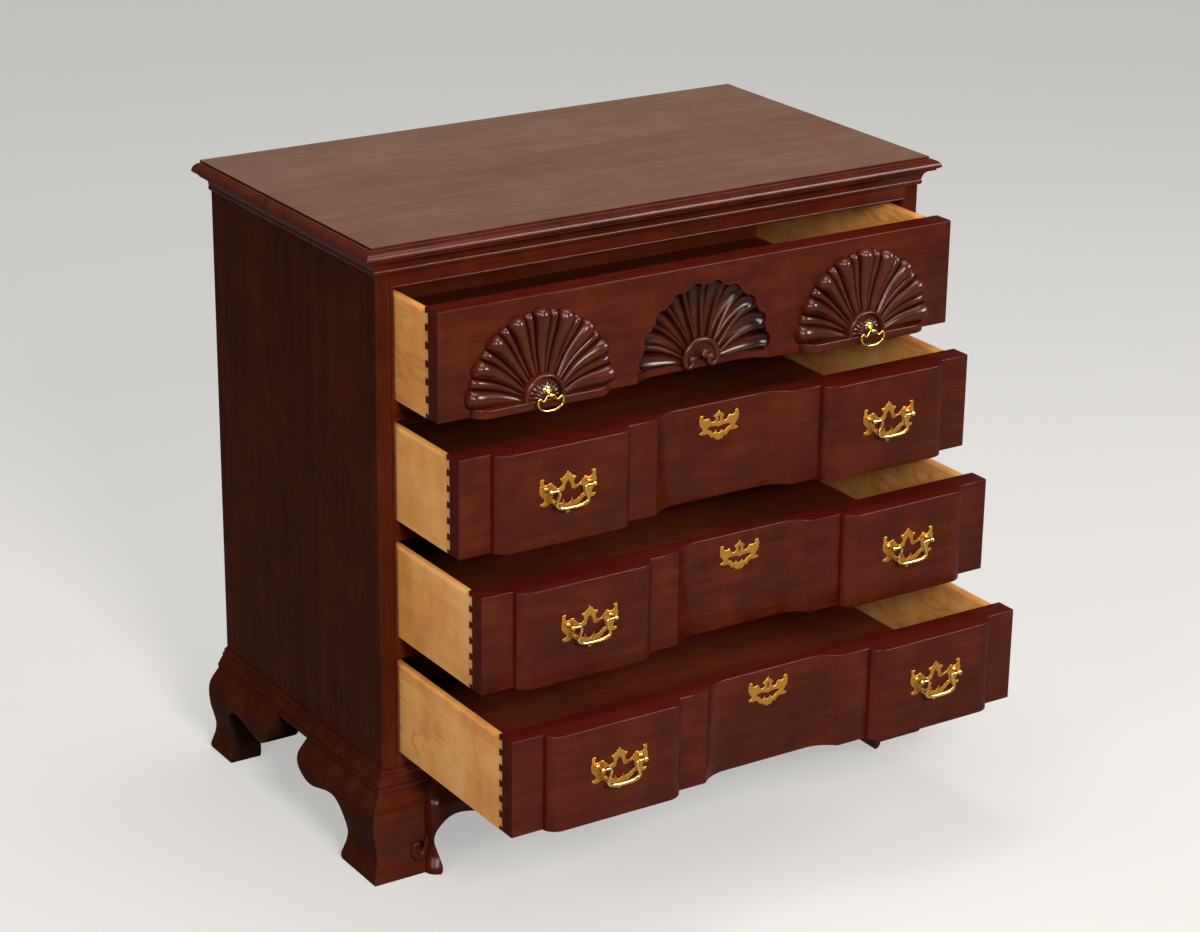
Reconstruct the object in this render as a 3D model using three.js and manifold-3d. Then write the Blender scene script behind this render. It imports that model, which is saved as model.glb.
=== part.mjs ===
// Block front chest of four drawers, in millimetres, with +Z up and the front towards -Y.
import * as THREE from 'three';
import { mergeVertices } from 'three/addons/utils/BufferGeometryUtils.js';
import Module from 'manifold-3d';

const wasm = await Module();
wasm.setup();

// Case
const caseWidth = 855;
const caseDepth = 464;
const sideThickness = 22;
const backThickness = 8;
const footHeight = 124;
const baseMouldingHeight = 29;
const bottomRailShow = 17;
const bottomBoardThickness = 12;
const topRailShow = 19.5;
const topRailThickness = 22;
const coveHeight = 24;
const bladeHeights = [28, 28, 31];
const bladeDepth = 62;
const dustboardThickness = 10;
const guideHeight = 16;

// Cock bead around the drawer openings
const beadWidth = 3.5;
const beadDepth = 8;
const beadProud = 1.5;

// Top board: a fillet, a thumbnail round and a small underlip
const topThickness = 16.5;
const topBackOverhang = 12;
const topOverhang = 23;
const topFilletHeight = 4;
const topFilletRun = 1.5;
const topThumbRun = 12;
const topThumbHeight = 10;
const topLipRun = 4;

// Cove moulding under the top
const coveProjection = 17.5;
const coveFillet = 2.5;
const coveRadius = 14;
const coveBeadProjection = 4;

// Base moulding: outline of its face
const baseProjection = 15;
const baseFaceShares = [
  [0.18, 1], [0.22, 0.9], [0.3, 0.76], [0.5, 0.62], [0.74, 0.55], [0.8, 0.44], [1, 0.3], [1, 0.1], [0.88, 0],
];

// Blocked front: end strips, raised blocks, strips and a sunk centre, all symmetrical
const endStripWidth = 45.5;
const innerStripWidth = 44.5;
const recessEdge = 107;
const blockRise = 17;
const recessDepth = 17;
const blockRoundRun = 22;
const recessSweepRun = 42;
const blockSideShare = 0.6;
const arcSteps = 6;

// Feet: ogee face, bracket outline and glue block
const footProjection = 31;
const footFaceShares = [
  [0.94, 0], [0.97, 0.04], [0.93, 0.09], [0.74, 0.19], [0.69, 0.28], [0.78, 0.4],
  [0.93, 0.55], [1, 0.7], [0.98, 0.8], [0.85, 0.88], [0.62, 0.95], [0.45, 1],
];
const footWall = 18;
const bracketLength = 190;
const bracketShares = [
  [0.33, 0], [0.34, 0.14], [0.31, 0.34], [0.3, 0.54], [0.38, 0.67], [0.52, 0.7],
  [0.68, 0.63], [0.83, 0.6], [0.94, 0.67], [1, 0.82], [1, 1],
];
const glueBlockSize = 36;
const glueBlockLift = 31;
const rearBracketThickness = 16;

// Drawers, from the top one down
const drawerGap = 2;
const drawerHeights = [145, 132, 132, 132];
const drawerOpenings = [109, 160, 214, 287];
const frontSideGap = 1.5;
const frontThickness = 31;
const sideInset = 1;
const boxSideThickness = 13;
const boxBackThickness = 12;
const boxLength = 441;
const boxTopDrop = 6;
const runnerDrop = 1.7;
const bottomPanelThickness = 6;
const bottomPanelLift = 10;
const grooveDepth = 5;
const grooveClearance = 0.2;

// Half-blind dovetails
const tailCount = 5;
const tailLength = 8;
const tailTopMargin = 3;
const tailBaseShare = 0.42;
const tailTipShare = 0.58;
const tailClearance = 0.15;

// Carved shells on the top drawer
const shellBaseLift = 16;
const shellRadius = 112;
const shellRise = 14;
const shellRays = 11;
const scallopShare = 0.06;
const grooveShare = 0.5;
const shellRadialShares = [
  [0.1, 1], [0.3, 0.8], [0.5, 0.68], [0.68, 0.78], [0.84, 1], [0.94, 0.92], [1, 0.25],
];
const hubRadius = 30.5;
const hubRise = 18;
const hubSteps = 14;
const sunkShellBaseLift = 20;
const sunkShellRadius = 103;
const sunkShellDepth = 15;
const sunkRadialShares = [[0.1, 0.75], [0.3, 0.85], [0.52, 1], [0.72, 0.95], [0.88, 0.7], [1, 0.2]];
const sunkHubRadius = 24;
const sunkHubSetBack = 4;

// Pulls: pierced plate with two ball-headed posts
const plateWidth = 85;
const plateHeight = 57;
const plateThickness = 1.6;
const plateOutlineShares = [
  [0, 0.33], [0.05, 0.31], [0.09, 0.26], [0.15, 0.23], [0.17, 0.18], [0.25, 0.16], [0.25, 0.1], [0.19, 0.06],
  [0.2, -0.01], [0.33, -0.07], [0.45, 0.03], [0.53, 0.13], [0.59, 0.14], [0.66, 0.08], [0.78, 0.11],
  [0.85, 0.25], [0.96, 0.25], [0.98, 0.08], [1, -0.05], [0.91, -0.15], [0.79, -0.24], [0.95, -0.33],
  [0.86, -0.38], [0.72, -0.35], [0.56, -0.38], [0.43, -0.43], [0.3, -0.53], [0.13, -0.58], [0, -0.66],
];
const plateHoleShares = [
  [0, 0.11], [0.07, 0.02], [0.11, -0.1], [0.28, -0.17], [0.46, -0.14], [0.55, -0.21], [0.46, -0.28],
  [0.28, -0.35], [0.12, -0.42], [0, -0.44],
];
const postSpacing = 64;
const postDrop = 54.5;
const postReach = 11;
const postBallRadius = 4;
const postNeckRadius = 2.2;
const postFootRadius = 5;
const postFootHeight = 1.5;
const turnedSteps = 8;
const ballSteps = 4;

// Bails: a swan-neck handle between the posts
const bailDrop = 25.5;
const bailEndRadius = 1.4;
const bailMiddleRadius = 2.6;
const bailSides = 6;
const bailSteps = 18;
const bailHoleDepth = 2.5;
const bailHoleClearance = 0.3;
const bailRouteShares = [
  [0.82, 0], [0.68, 0], [0.6, -0.06], [0.6, -0.22], [0.66, -0.44],
  [0.73, -0.66], [0.7, -0.84], [0.54, -0.95], [0.26, -1],
];

// Drop pulls on the top drawer: a rosette with one post and a small bail
const rosetteRadius = 6.5;
const rosetteThickness = 2;
const rosetteShares = [[1, 0], [1, 0.35], [0.8, 1], [0.55, 0.6]];
const dropPostReach = 9;
const dropPostBallRadius = 3.4;
const dropPostNeckRadius = 1.8;
const dropPullLift = 22;
const dropBailWidth = 39;
const dropBailDrop = 22;
const dropBailRadius = 1.3;
const dropBailMiddleRadius = 1.8;
const dropHoleDepth = 1.6;
const dropRouteShares = [
  [0.1, 0], [0.25, 0], [0.36, -0.13], [0.5, -0.31], [0.68, -0.28], [0.82, -0.15],
  [0.95, -0.22], [1, -0.46], [0.89, -0.74], [0.6, -0.93], [0.25, -1],
];

// Escutcheons
const escutcheonWidth = 61;
const escutcheonHeight = 44;
const escutcheonThickness = 1.4;
const escutcheonDrop = 33;
const escutcheonOutlineShares = [
  [0, 0.43], [0.08, 0.38], [0.12, 0.32], [0.21, 0.25], [0.18, 0.16], [0.2, 0.08], [0.33, 0.06],
  [0.44, 0.13], [0.6, 0.23], [0.66, 0.19], [0.82, 0.32], [0.9, 0.34], [0.97, 0.3], [1, 0.04],
  [0.92, -0.07], [0.8, -0.14], [0.94, -0.22], [0.88, -0.27], [0.66, -0.26], [0.46, -0.34],
  [0.3, -0.43], [0.15, -0.48], [0, -0.57],
];
const escutcheonHoleShares = [
  [0, -0.06], [0.2, -0.1], [0.46, -0.01], [0.64, -0.05],
  [0.59, -0.16], [0.39, -0.21], [0.23, -0.3], [0, -0.31],
];
const keyholeLift = 6;
const keyholeHeight = 8;
const keyholeWidth = 2.4;
const keyholeTopRadius = 1.9;

// Running past a surface in cuts and joins
const overrun = 2;

// Levels and planes worked out from the sizes above
const halfWidth = caseWidth / 2;
const innerHalfWidth = halfWidth - sideThickness;
const openingHalfWidth = innerHalfWidth - beadWidth;
const bottomRailTop = footHeight + baseMouldingHeight + bottomRailShow;
const backFace = caseDepth - backThickness;
const frontHalfWidth = openingHalfWidth - frontSideGap;
const blockOuterEdge = frontHalfWidth - endStripWidth;
const blockInnerEdge = recessEdge + innerStripWidth;
const boxOuter = frontHalfWidth - sideInset;
const boxInner = boxOuter - boxSideThickness;
const blockCentre = (blockOuterEdge + blockInnerEdge) / 2;

// Clear height of each opening, and the level of the piece under it
const openingFloors = [];
let level = bottomRailTop;
for (let index = drawerHeights.length - 1; index >= 0; index -= 1) {
  openingFloors[index] = level;
  level += drawerHeights[index] + 2 * drawerGap;
  level += index > 0 ? bladeHeights[index - 1] : 0;
}
const topRailBottom = level;
const topUnderside = topRailBottom + topRailShow + coveHeight;
const coveBottom = topUnderside - coveHeight;
const openingHeights = drawerHeights.map((height) => height + 2 * drawerGap);

// Materials
function finish(color, roughness, metalness = 0) {
  return new THREE.MeshStandardMaterial({ color, roughness, metalness });
}

const mahogany = finish(0x5a2418, 0.35);
const sideMahogany = finish(0x42190f, 0.4);
const maple = finish(0xc48f52, 0.55);
const innerWood = finish(0x7a4a26, 0.7);
const brass = finish(0xb98a35, 0.25, 1);

// Turn a closed geometry into a solid whose faces point out
function toSolid(geometry) {
  const bare = geometry.clone();
  bare.deleteAttribute('normal');
  bare.deleteAttribute('uv');
  const merged = mergeVertices(bare);
  const index = merged.index.array;
  const position = merged.attributes.position;
  const corner = [new THREE.Vector3(), new THREE.Vector3(), new THREE.Vector3()];
  let volume = 0;
  for (let face = 0; face < index.length; face += 3) {
    corner.forEach((point, side) => point.fromBufferAttribute(position, index[face + side]));
    volume += corner[0].dot(corner[1].cross(corner[2]));
  }
  const triVerts = Uint32Array.from(index);
  for (let face = 0; volume < 0 && face < triVerts.length; face += 3) {
    [triVerts[face + 1], triVerts[face + 2]] = [triVerts[face + 2], triVerts[face + 1]];
  }
  return new wasm.Manifold(new wasm.Mesh({
    numProp: 3,
    vertProperties: Float32Array.from(position.array),
    triVerts,
  }));
}

function toGeometry(solid) {
  const mesh = solid.getMesh();
  const geometry = new THREE.BufferGeometry();
  geometry.setAttribute('position', new THREE.Float32BufferAttribute(mesh.vertProperties, 3));
  geometry.setIndex(new THREE.Uint32BufferAttribute(mesh.triVerts, 1));
  geometry.computeVertexNormals();
  return geometry;
}

const ordered = (a, b) => [Math.min(a, b), Math.max(a, b)];
const joined = (solids) => solids.reduce((total, solid) => total.add(solid));
const cutBy = (solid, cutters) => cutters.reduce((total, cutter) => total.subtract(cutter), solid);

// Box between two limits on each axis
function block([xLow, xHigh], [yLow, yHigh], [zLow, zHigh]) {
  const geometry = new THREE.BoxGeometry(xHigh - xLow, yHigh - yLow, zHigh - zLow);
  geometry.translate((xLow + xHigh) / 2, (yLow + yHigh) / 2, (zLow + zHigh) / 2);
  return toSolid(geometry);
}

// Extrude an outline, with any holes, along x, y or z. Points are (y, z), (x, z) or (x, y).
const xAxis = new THREE.Vector3(1, 0, 0);
const yAxis = new THREE.Vector3(0, 1, 0);
const zAxis = new THREE.Vector3(0, 0, 1);
const frames = {
  x: new THREE.Matrix4().makeBasis(yAxis, zAxis, xAxis),
  y: new THREE.Matrix4().makeBasis(zAxis, xAxis, yAxis),
  z: new THREE.Matrix4(),
};

function prism(axis, points, [low, high], holes = []) {
  const flat = (list) => list.map(([a, b]) => (
    axis === 'y' ? new THREE.Vector2(b, a) : new THREE.Vector2(a, b)
  ));
  const shape = new THREE.Shape(flat(points));
  holes.forEach((hole) => shape.holes.push(new THREE.Path(flat(hole))));
  const geometry = new THREE.ExtrudeGeometry(shape, { depth: high - low, bevelEnabled: false });
  geometry.translate(0, 0, low);
  geometry.applyMatrix4(frames[axis]);
  return toSolid(geometry);
}

// Join level rings of equal point counts into one closed solid. A ring is { z, points: [[x, y], ...] }.
function loft(rings) {
  const count = rings[0].points.length;
  const position = rings.flatMap(({ z, points }) => points.flatMap(([x, y]) => [x, y, z]));
  const index = [];
  for (let ring = 0; ring < rings.length - 1; ring += 1) {
    for (let step = 0; step < count; step += 1) {
      const next = (step + 1) % count;
      const [a, b, c, d] = [step, next, next + count, step + count].map((offset) => ring * count + offset);
      index.push(a, b, c, a, c, d);
    }
  }
  const lastRing = (rings.length - 1) * count;
  const outline = (ring) => ring.points.map(([x, y]) => new THREE.Vector2(x, y));
  const clockwise = THREE.ShapeUtils.isClockWise(outline(rings[0]));
  const capRing = (ring, first, up) => {
    THREE.ShapeUtils.triangulateShape(outline(ring), []).forEach((face) => {
      const [a, b, c] = face.map((corner) => corner + first);
      index.push(...(up ? [a, b, c] : [a, c, b]));
    });
  };
  capRing(rings[0], 0, clockwise);
  capRing(rings[rings.length - 1], lastRing, !clockwise);
  const geometry = new THREE.BufferGeometry();
  geometry.setAttribute('position', new THREE.Float32BufferAttribute(position, 3));
  geometry.setIndex(index);
  return toSolid(geometry);
}

// Close a patch of points, rows by columns, back to a plane at y = back
function patchSolid(rows, back) {
  const rowCount = rows.length;
  const columnCount = rows[0].length;
  const front = rows.flat();
  const position = [...front, ...front.map(([x, , z]) => [x, back, z])].flat();
  const behind = (corner) => corner + front.length;
  const at = (row, column) => row * columnCount + column;
  const index = [];
  const quad = (a, b, c, d) => index.push(a, b, c, a, c, d);
  const edge = [];
  for (let row = 0; row < rowCount - 1; row += 1) {
    for (let column = 0; column < columnCount - 1; column += 1) {
      const corners = [at(row, column), at(row, column + 1), at(row + 1, column + 1), at(row + 1, column)];
      quad(...corners);
      quad(...corners.map(behind).reverse());
    }
    edge.push([at(row, columnCount - 1), at(row + 1, columnCount - 1)], [at(row + 1, 0), at(row, 0)]);
  }
  for (let column = 0; column < columnCount - 1; column += 1) {
    edge.push([at(0, column), at(0, column + 1)], [at(rowCount - 1, column + 1), at(rowCount - 1, column)]);
  }
  edge.forEach(([a, b]) => quad(b, a, behind(a), behind(b)));
  const geometry = new THREE.BufferGeometry();
  geometry.setAttribute('position', new THREE.Float32BufferAttribute(position, 3));
  geometry.setIndex(index);
  return toSolid(geometry);
}

// Flip a list of plan points to the other side of the chest
const mirrorPoints = (points) => points.map(([x, ...rest]) => [-x, ...rest]);
const sides = [['left', -1], ['right', 1]];

// Plan line of the blocked front from left to right, pushed out by a moulding's projection
function blockedLine(projection = 0) {
  const shift = projection * blockSideShare;
  const outer = blockOuterEdge + shift;
  const inner = blockInnerEdge - shift;
  const sunk = recessEdge - shift;
  const sweepRadius = (recessSweepRun ** 2 + recessDepth ** 2) / (2 * recessDepth);
  const sweepAngle = Math.asin(recessSweepRun / sweepRadius);
  const half = [];
  for (let step = 0; step <= arcSteps; step += 1) {
    const turn = (step / arcSteps) * (Math.PI / 2);
    half.push([-outer + blockRoundRun * (1 - Math.cos(turn)), -blockRise * Math.sin(turn)]);
  }
  for (let step = arcSteps; step >= 0; step -= 1) {
    const turn = (step / arcSteps) * (Math.PI / 2);
    half.push([-inner - blockRoundRun * (1 - Math.cos(turn)), -blockRise * Math.sin(turn)]);
  }
  for (let step = arcSteps; step >= 0; step -= 1) {
    const turn = (step / arcSteps) * sweepAngle;
    const run = recessSweepRun - sweepRadius * Math.sin(turn);
    half.push([-sunk + run, recessDepth - sweepRadius * (1 - Math.cos(turn))]);
  }
  const whole = [...half, ...mirrorPoints(half).reverse()];
  return whole.map(([x, y]) => [x, y - projection]);
}

// Place shares of a right half outline about a centre and close it with its mirror image
function symmetricOutline(shares, width, height, [centreX, centreZ]) {
  const right = shares.map(([across, up]) => [across * (width / 2), up * height]);
  const inner = right.filter(([x]) => x > 0);
  const left = mirrorPoints(inner).reverse();
  const whole = [right[0], ...inner, right[right.length - 1], ...left];
  return whole.map(([x, z]) => [x + centreX, z + centreZ]);
}

function disc(radius, [centreX, centreZ], steps) {
  const points = [];
  for (let step = 0; step < steps; step += 1) {
    const turn = (step / steps) * 2 * Math.PI;
    points.push([centreX + radius * Math.cos(turn), centreZ + radius * Math.sin(turn)]);
  }
  return points;
}

// Turned piece standing out towards the front from y = face. Profile points are [radius, reach].
function turned(profile, [x, face, z], steps) {
  const points = profile.map(([radius, reach]) => new THREE.Vector2(radius, reach));
  const geometry = new THREE.LatheGeometry(points, steps);
  geometry.rotateX(Math.PI);
  geometry.translate(x, face, z);
  return toSolid(geometry);
}

// Round rod along a smooth route, thicker towards the middle
function taperedRod(route, endRadius, middleRadius, steps, roundness) {
  const points = route.map((point) => new THREE.Vector3(...point));
  const curve = new THREE.CatmullRomCurve3(points, false, 'centripetal');
  const geometry = new THREE.ExtrudeGeometry(
    new THREE.Shape(disc(1, [0, 0], roundness).map(([x, y]) => new THREE.Vector2(x, y))),
    { steps, bevelEnabled: false, extrudePath: curve },
  );
  const centres = [];
  for (let step = 0; step <= steps; step += 1) {
    centres.push(curve.getPointAt(step / steps));
  }
  const position = geometry.attributes.position;
  const point = new THREE.Vector3();
  for (let vertex = 0; vertex < position.count; vertex += 1) {
    point.fromBufferAttribute(position, vertex);
    const distances = centres.map((centre) => centre.distanceTo(point));
    const nearest = distances.indexOf(Math.min(...distances));
    const swell = Math.sin((nearest / steps) * Math.PI) ** 2;
    const radius = endRadius + (middleRadius - endRadius) * swell;
    point.sub(centres[nearest]).setLength(radius).add(centres[nearest]);
    position.setXYZ(vertex, point.x, point.y, point.z);
  }
  return toSolid(geometry);
}

const chest = new THREE.Group();

function addNode(parent, name, solid, material) {
  const mesh = new THREE.Mesh(toGeometry(solid), material);
  mesh.name = name;
  parent.add(mesh);
}

// Case sides with the cock beads of each opening on their inner front edges
function caseSide(sign) {
  const span = (near, far) => ordered(near * sign, far * sign);
  const board = block(span(innerHalfWidth, halfWidth), [0, caseDepth], [footHeight, topUnderside]);
  const beads = openingFloors.map((floor, index) => block(
    span(openingHalfWidth, innerHalfWidth + beadDepth / 2),
    [-beadProud, beadDepth],
    [floor, floor + openingHeights[index]],
  ));
  return joined([board, ...beads]);
}

function topBoard() {
  const topEdge = topOverhang - topThumbRun - topFilletRun;
  const fillet = topUnderside + topThickness - topFilletHeight;
  const levels = [[topOverhang - topLipRun, topUnderside]];
  for (let step = 0; step <= arcSteps; step += 1) {
    const turn = (step / arcSteps) * (Math.PI / 2);
    const run = topOverhang - topThumbRun * (1 - Math.cos(turn));
    levels.push([run, fillet - topThumbHeight * (1 - Math.sin(turn))]);
  }
  levels.push([topEdge, fillet]);
  levels.push([topEdge, fillet + topFilletHeight]);
  const back = caseDepth + topBackOverhang;
  return loft(levels.map(([out, z]) => ({
    z,
    points: [
      [-halfWidth - out, -out], [halfWidth + out, -out],
      [halfWidth + out, back], [-halfWidth - out, back],
    ],
  })));
}

function coveMoulding() {
  const beadTop = topUnderside - coveFillet - coveRadius;
  const levels = [
    [coveBeadProjection / 2, coveBottom],
    [coveBeadProjection, coveBottom + coveBeadProjection / 2],
    [coveBeadProjection, beadTop - coveBeadProjection / 2],
  ];
  for (let step = 0; step <= arcSteps; step += 1) {
    const turn = (step / arcSteps) * (Math.PI / 2);
    levels.push([coveProjection - coveRadius * Math.cos(turn), beadTop + coveRadius * Math.sin(turn)]);
  }
  levels.push([coveProjection, topUnderside]);
  return loft(levels.map(([out, z]) => ({
    z,
    points: [
      [-halfWidth - out, caseDepth], [-halfWidth - out, -out],
      [halfWidth + out, -out], [halfWidth + out, caseDepth],
      [halfWidth, caseDepth], [halfWidth, 0], [-halfWidth, 0], [-halfWidth, caseDepth],
    ],
  })));
}

function topRail() {
  const rail = block([-innerHalfWidth, innerHalfWidth], [0, topRailThickness], [topRailBottom, topUnderside]);
  const bead = block(
    [-openingHalfWidth, openingHalfWidth],
    [-beadProud, beadDepth],
    [topRailBottom, topRailBottom + beadWidth],
  );
  return rail.add(bead);
}

// Rail between the sides whose face follows the blocking
function blockedRail(low, high) {
  const plan = [
    [-innerHalfWidth, 0], ...blockedLine(), [innerHalfWidth, 0],
    [innerHalfWidth, bladeDepth], [-innerHalfWidth, bladeDepth],
  ];
  return prism('z', plan, [low, high]);
}

// Board behind a rail that a drawer runs on, with a guide strip at each side
function runningBoard(top, thickness) {
  const board = block([-innerHalfWidth, innerHalfWidth], [bladeDepth, backFace], [top - thickness, top]);
  const guides = sides.map(([, sign]) => block(
    ordered(sign * frontHalfWidth, sign * innerHalfWidth),
    [bladeDepth, backFace],
    [top - thickness / 2, top + guideHeight],
  ));
  return joined([board, ...guides]);
}

function baseLevels() {
  const upwards = [...baseFaceShares].reverse();
  return upwards.map(([out, up]) => [out * baseProjection, footHeight + up * baseMouldingHeight]);
}

function baseMouldingFront() {
  const inner = [[halfWidth, 0], ...blockedLine().reverse(), [-halfWidth, 0]];
  return loft(baseLevels().map(([out, z]) => ({
    z,
    points: [[-halfWidth - out, -out], ...blockedLine(out), [halfWidth + out, -out], ...inner],
  })));
}

function baseMouldingSide(sign) {
  return loft(baseLevels().map(([out, z]) => ({
    z,
    points: [
      [sign * halfWidth, 0], [sign * (halfWidth + out), -out],
      [sign * (halfWidth + out), caseDepth], [sign * halfWidth, caseDepth],
    ],
  })));
}

// Space under a bracket, seen square on, as (distance in from the case corner, height)
function underBracket() {
  const curve = bracketShares.map(([along, up]) => [along * bracketLength, up * footHeight]);
  const beyond = bracketLength + footProjection;
  return [
    [curve[0][0], -overrun], ...curve,
    [bracketLength, footHeight + overrun], [beyond, footHeight + overrun], [beyond, -overrun],
  ];
}

const footLevels = footFaceShares.map(([out, up]) => [out * footProjection, up * footHeight]);
const footWallX = halfWidth - footWall;

// Cut the space under the side bracket out of a foot, given that space as a (y, z) outline
function sideBracketCut(sign, gap) {
  return prism('x', gap, ordered(sign * (halfWidth + footProjection), sign * (footWallX - overrun)));
}

// Block glued into the corner of a foot behind its boards
function glueBlock(sign, depthLimits) {
  const acrossLimits = ordered(sign * (footWallX - glueBlockSize), sign * footWallX);
  return block(acrossLimits, depthLimits, [glueBlockLift, footHeight]);
}

function frontFoot(sign) {
  const reach = halfWidth - bracketLength;
  const rings = footLevels.map(([out, z]) => {
    const blocked = blockedLine(out).filter(([x]) => x < -reach - overrun);
    const leftHand = [
      [-footWallX, bracketLength], [-halfWidth - out, bracketLength], [-halfWidth - out, -out], ...blocked,
      [-reach, -blockRise - out], [-reach, footWall], [-footWallX, footWall],
    ];
    return { z, points: sign < 0 ? leftHand : mirrorPoints(leftHand) };
  });
  const gap = underBracket();
  const frontGap = gap.map(([along, z]) => [sign * (halfWidth - along), z]);
  const frontCut = prism('y', frontGap, [-blockRise - footProjection - overrun, footWall + overrun]);
  const boards = cutBy(loft(rings), [frontCut, sideBracketCut(sign, gap)]);
  return boards.add(glueBlock(sign, [footWall, footWall + glueBlockSize]));
}

function rearFoot(sign) {
  const start = caseDepth - bracketLength;
  const rings = footLevels.map(([out, z]) => ({
    z,
    points: [
      [sign * footWallX, start], [sign * (halfWidth + out), start],
      [sign * (halfWidth + out), caseDepth], [sign * footWallX, caseDepth],
    ],
  }));
  const gap = underBracket();
  const sideGap = gap.map(([along, z]) => [caseDepth - along, z]);
  const sideBoard = loft(rings).subtract(sideBracketCut(sign, sideGap));
  const inner = caseDepth - rearBracketThickness;
  const acrossLimits = ordered(sign * (halfWidth - bracketLength), sign * footWallX);
  const backBoard = block(acrossLimits, [inner, caseDepth], [0, footHeight]);
  const backGap = gap.map(([along, z]) => [sign * (halfWidth - along), z]);
  const backCut = prism('y', backGap, [inner - overrun, caseDepth + overrun]);
  return joined([sideBoard, backBoard.subtract(backCut), glueBlock(sign, [inner - glueBlockSize, inner])]);
}

// Half-blind tails of one drawer corner as (y, z) outlines, grown by a clearance
function tailOutlines(floor, height, clearance) {
  const pitch = (height - tailTopMargin) / tailCount;
  const base = frontThickness + (clearance ? overrun : 0);
  const tip = frontThickness - tailLength - 2 * clearance;
  const outlines = [];
  for (let tail = 0; tail < tailCount; tail += 1) {
    const centre = floor + (tail + 0.5) * pitch;
    const flare = (pitch * (tailTipShare - tailBaseShare)) / 2;
    const slope = flare / tailLength;
    const halfBase = (pitch * tailBaseShare) / 2 + clearance - slope * (base - frontThickness);
    const halfTip = (pitch * tailTipShare) / 2 + clearance;
    outlines.push([
      [base, centre - halfBase], [tip, centre - halfTip],
      [tip, centre + halfTip], [base, centre + halfBase],
    ]);
  }
  return outlines;
}

const outward = (sign, near, far) => ordered(sign * near, sign * far);

// Lower and upper level of the groove for the bottom panel
function grooveSpan(floor) {
  const low = floor - runnerDrop + bottomPanelLift;
  return [low - grooveClearance, low + bottomPanelThickness + grooveClearance];
}

function boxSide(sign, floor, height) {
  const outline = [[frontThickness, floor - runnerDrop]];
  tailOutlines(floor, height, 0).forEach((tail) => outline.push(...tail));
  outline.push([frontThickness, floor + height - boxTopDrop]);
  outline.push([boxLength, floor + height - boxTopDrop], [boxLength, floor - runnerDrop]);
  const plank = prism('x', outline, outward(sign, boxInner, boxOuter));
  const groove = block(
    outward(sign, boxInner - overrun, boxInner + grooveDepth),
    [frontThickness - tailLength - overrun, boxLength + overrun],
    grooveSpan(floor),
  );
  return plank.subtract(groove);
}

function boxBack(floor, height) {
  const [, grooveTop] = grooveSpan(floor);
  const heights = [grooveTop, floor + height - boxTopDrop];
  return block([-boxInner, boxInner], [boxLength - boxBackThickness, boxLength], heights);
}

function boxBottom(floor) {
  const [grooveLow, grooveTop] = grooveSpan(floor);
  const half = boxInner + grooveDepth - grooveClearance;
  return block(
    [-half, half],
    [frontThickness - grooveDepth + grooveClearance, boxLength],
    [grooveLow + grooveClearance, grooveTop - grooveClearance],
  );
}

// Sockets for the tails and the groove for the bottom, cut out of a drawer front
function jointedFront(solid, floor, height) {
  const sockets = sides.flatMap(([, sign]) => tailOutlines(floor, height, tailClearance).map(
    (tail) => prism('x', tail, outward(sign, boxInner - tailClearance, frontHalfWidth + overrun)),
  ));
  const groove = block(
    [-boxInner - grooveDepth, boxInner + grooveDepth],
    [frontThickness - grooveDepth, frontThickness + overrun],
    grooveSpan(floor),
  );
  return cutBy(solid, [...sockets, groove]);
}

function blockedFront(floor, height) {
  const half = frontHalfWidth;
  const plan = [[-half, 0], ...blockedLine(), [half, 0], [half, frontThickness], [-half, frontThickness]];
  return prism('z', plan, [floor, floor + height]);
}

// Fan of rays as rows of points: from one end of the base line over the top to the other
function shellPatch([centreX, centreZ], radius, radialShares, heightAt) {
  const rows = [];
  const steps = shellRays * 2;
  for (let step = 0; step <= steps; step += 1) {
    const turn = Math.PI - (step / steps) * Math.PI;
    const crest = step % 2;
    const reach = radius * (1 - scallopShare * (1 - crest));
    rows.push(radialShares.map(([along, rise]) => [
      centreX + reach * along * Math.cos(turn),
      heightAt(rise * (grooveShare + (1 - grooveShare) * crest)),
      centreZ + reach * along * Math.sin(turn),
    ]));
  }
  return rows;
}

// Half disc standing on a base line, as (x, z)
function halfDisc([centreX, centreZ], radius) {
  const points = [];
  for (let step = 0; step <= hubSteps; step += 1) {
    const turn = (step / hubSteps) * Math.PI;
    points.push([centreX + radius * Math.cos(turn), centreZ + radius * Math.sin(turn)]);
  }
  return points;
}

function raisedShell(sign, floor) {
  const centre = [sign * blockCentre, floor + shellBaseLift];
  const inBlock = blockedLine().filter(([x, y]) => x * sign > recessEdge && y <= 0);
  const pad = prism(
    'z',
    [...inBlock, [inBlock[inBlock.length - 1][0], overrun], [inBlock[0][0], overrun]],
    [floor, floor + shellBaseLift],
  );
  const rows = shellPatch(centre, shellRadius, shellRadialShares, (share) => -share * shellRise);
  const fan = patchSolid(rows, overrun);
  const hub = prism('y', halfDisc(centre, hubRadius), [-hubRise, overrun]);
  return joined([pad, fan, hub]);
}

function sunkShell(floor) {
  const centre = [0, floor + sunkShellBaseLift];
  const sunkLine = blockedLine().filter(([x, y]) => Math.abs(x) <= recessEdge && y >= 0);
  const channel = prism(
    'z',
    [...sunkLine, [recessEdge, -overrun], [-recessEdge, -overrun]],
    [floor - overrun, floor + sunkShellBaseLift],
  );
  const rows = shellPatch(centre, sunkShellRadius, sunkRadialShares, (share) => share * sunkShellDepth);
  const fan = patchSolid(rows, -overrun);
  const hub = prism('y', halfDisc(centre, sunkHubRadius), [sunkHubSetBack, recessDepth]);
  return channel.add(fan).subtract(hub);
}

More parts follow.
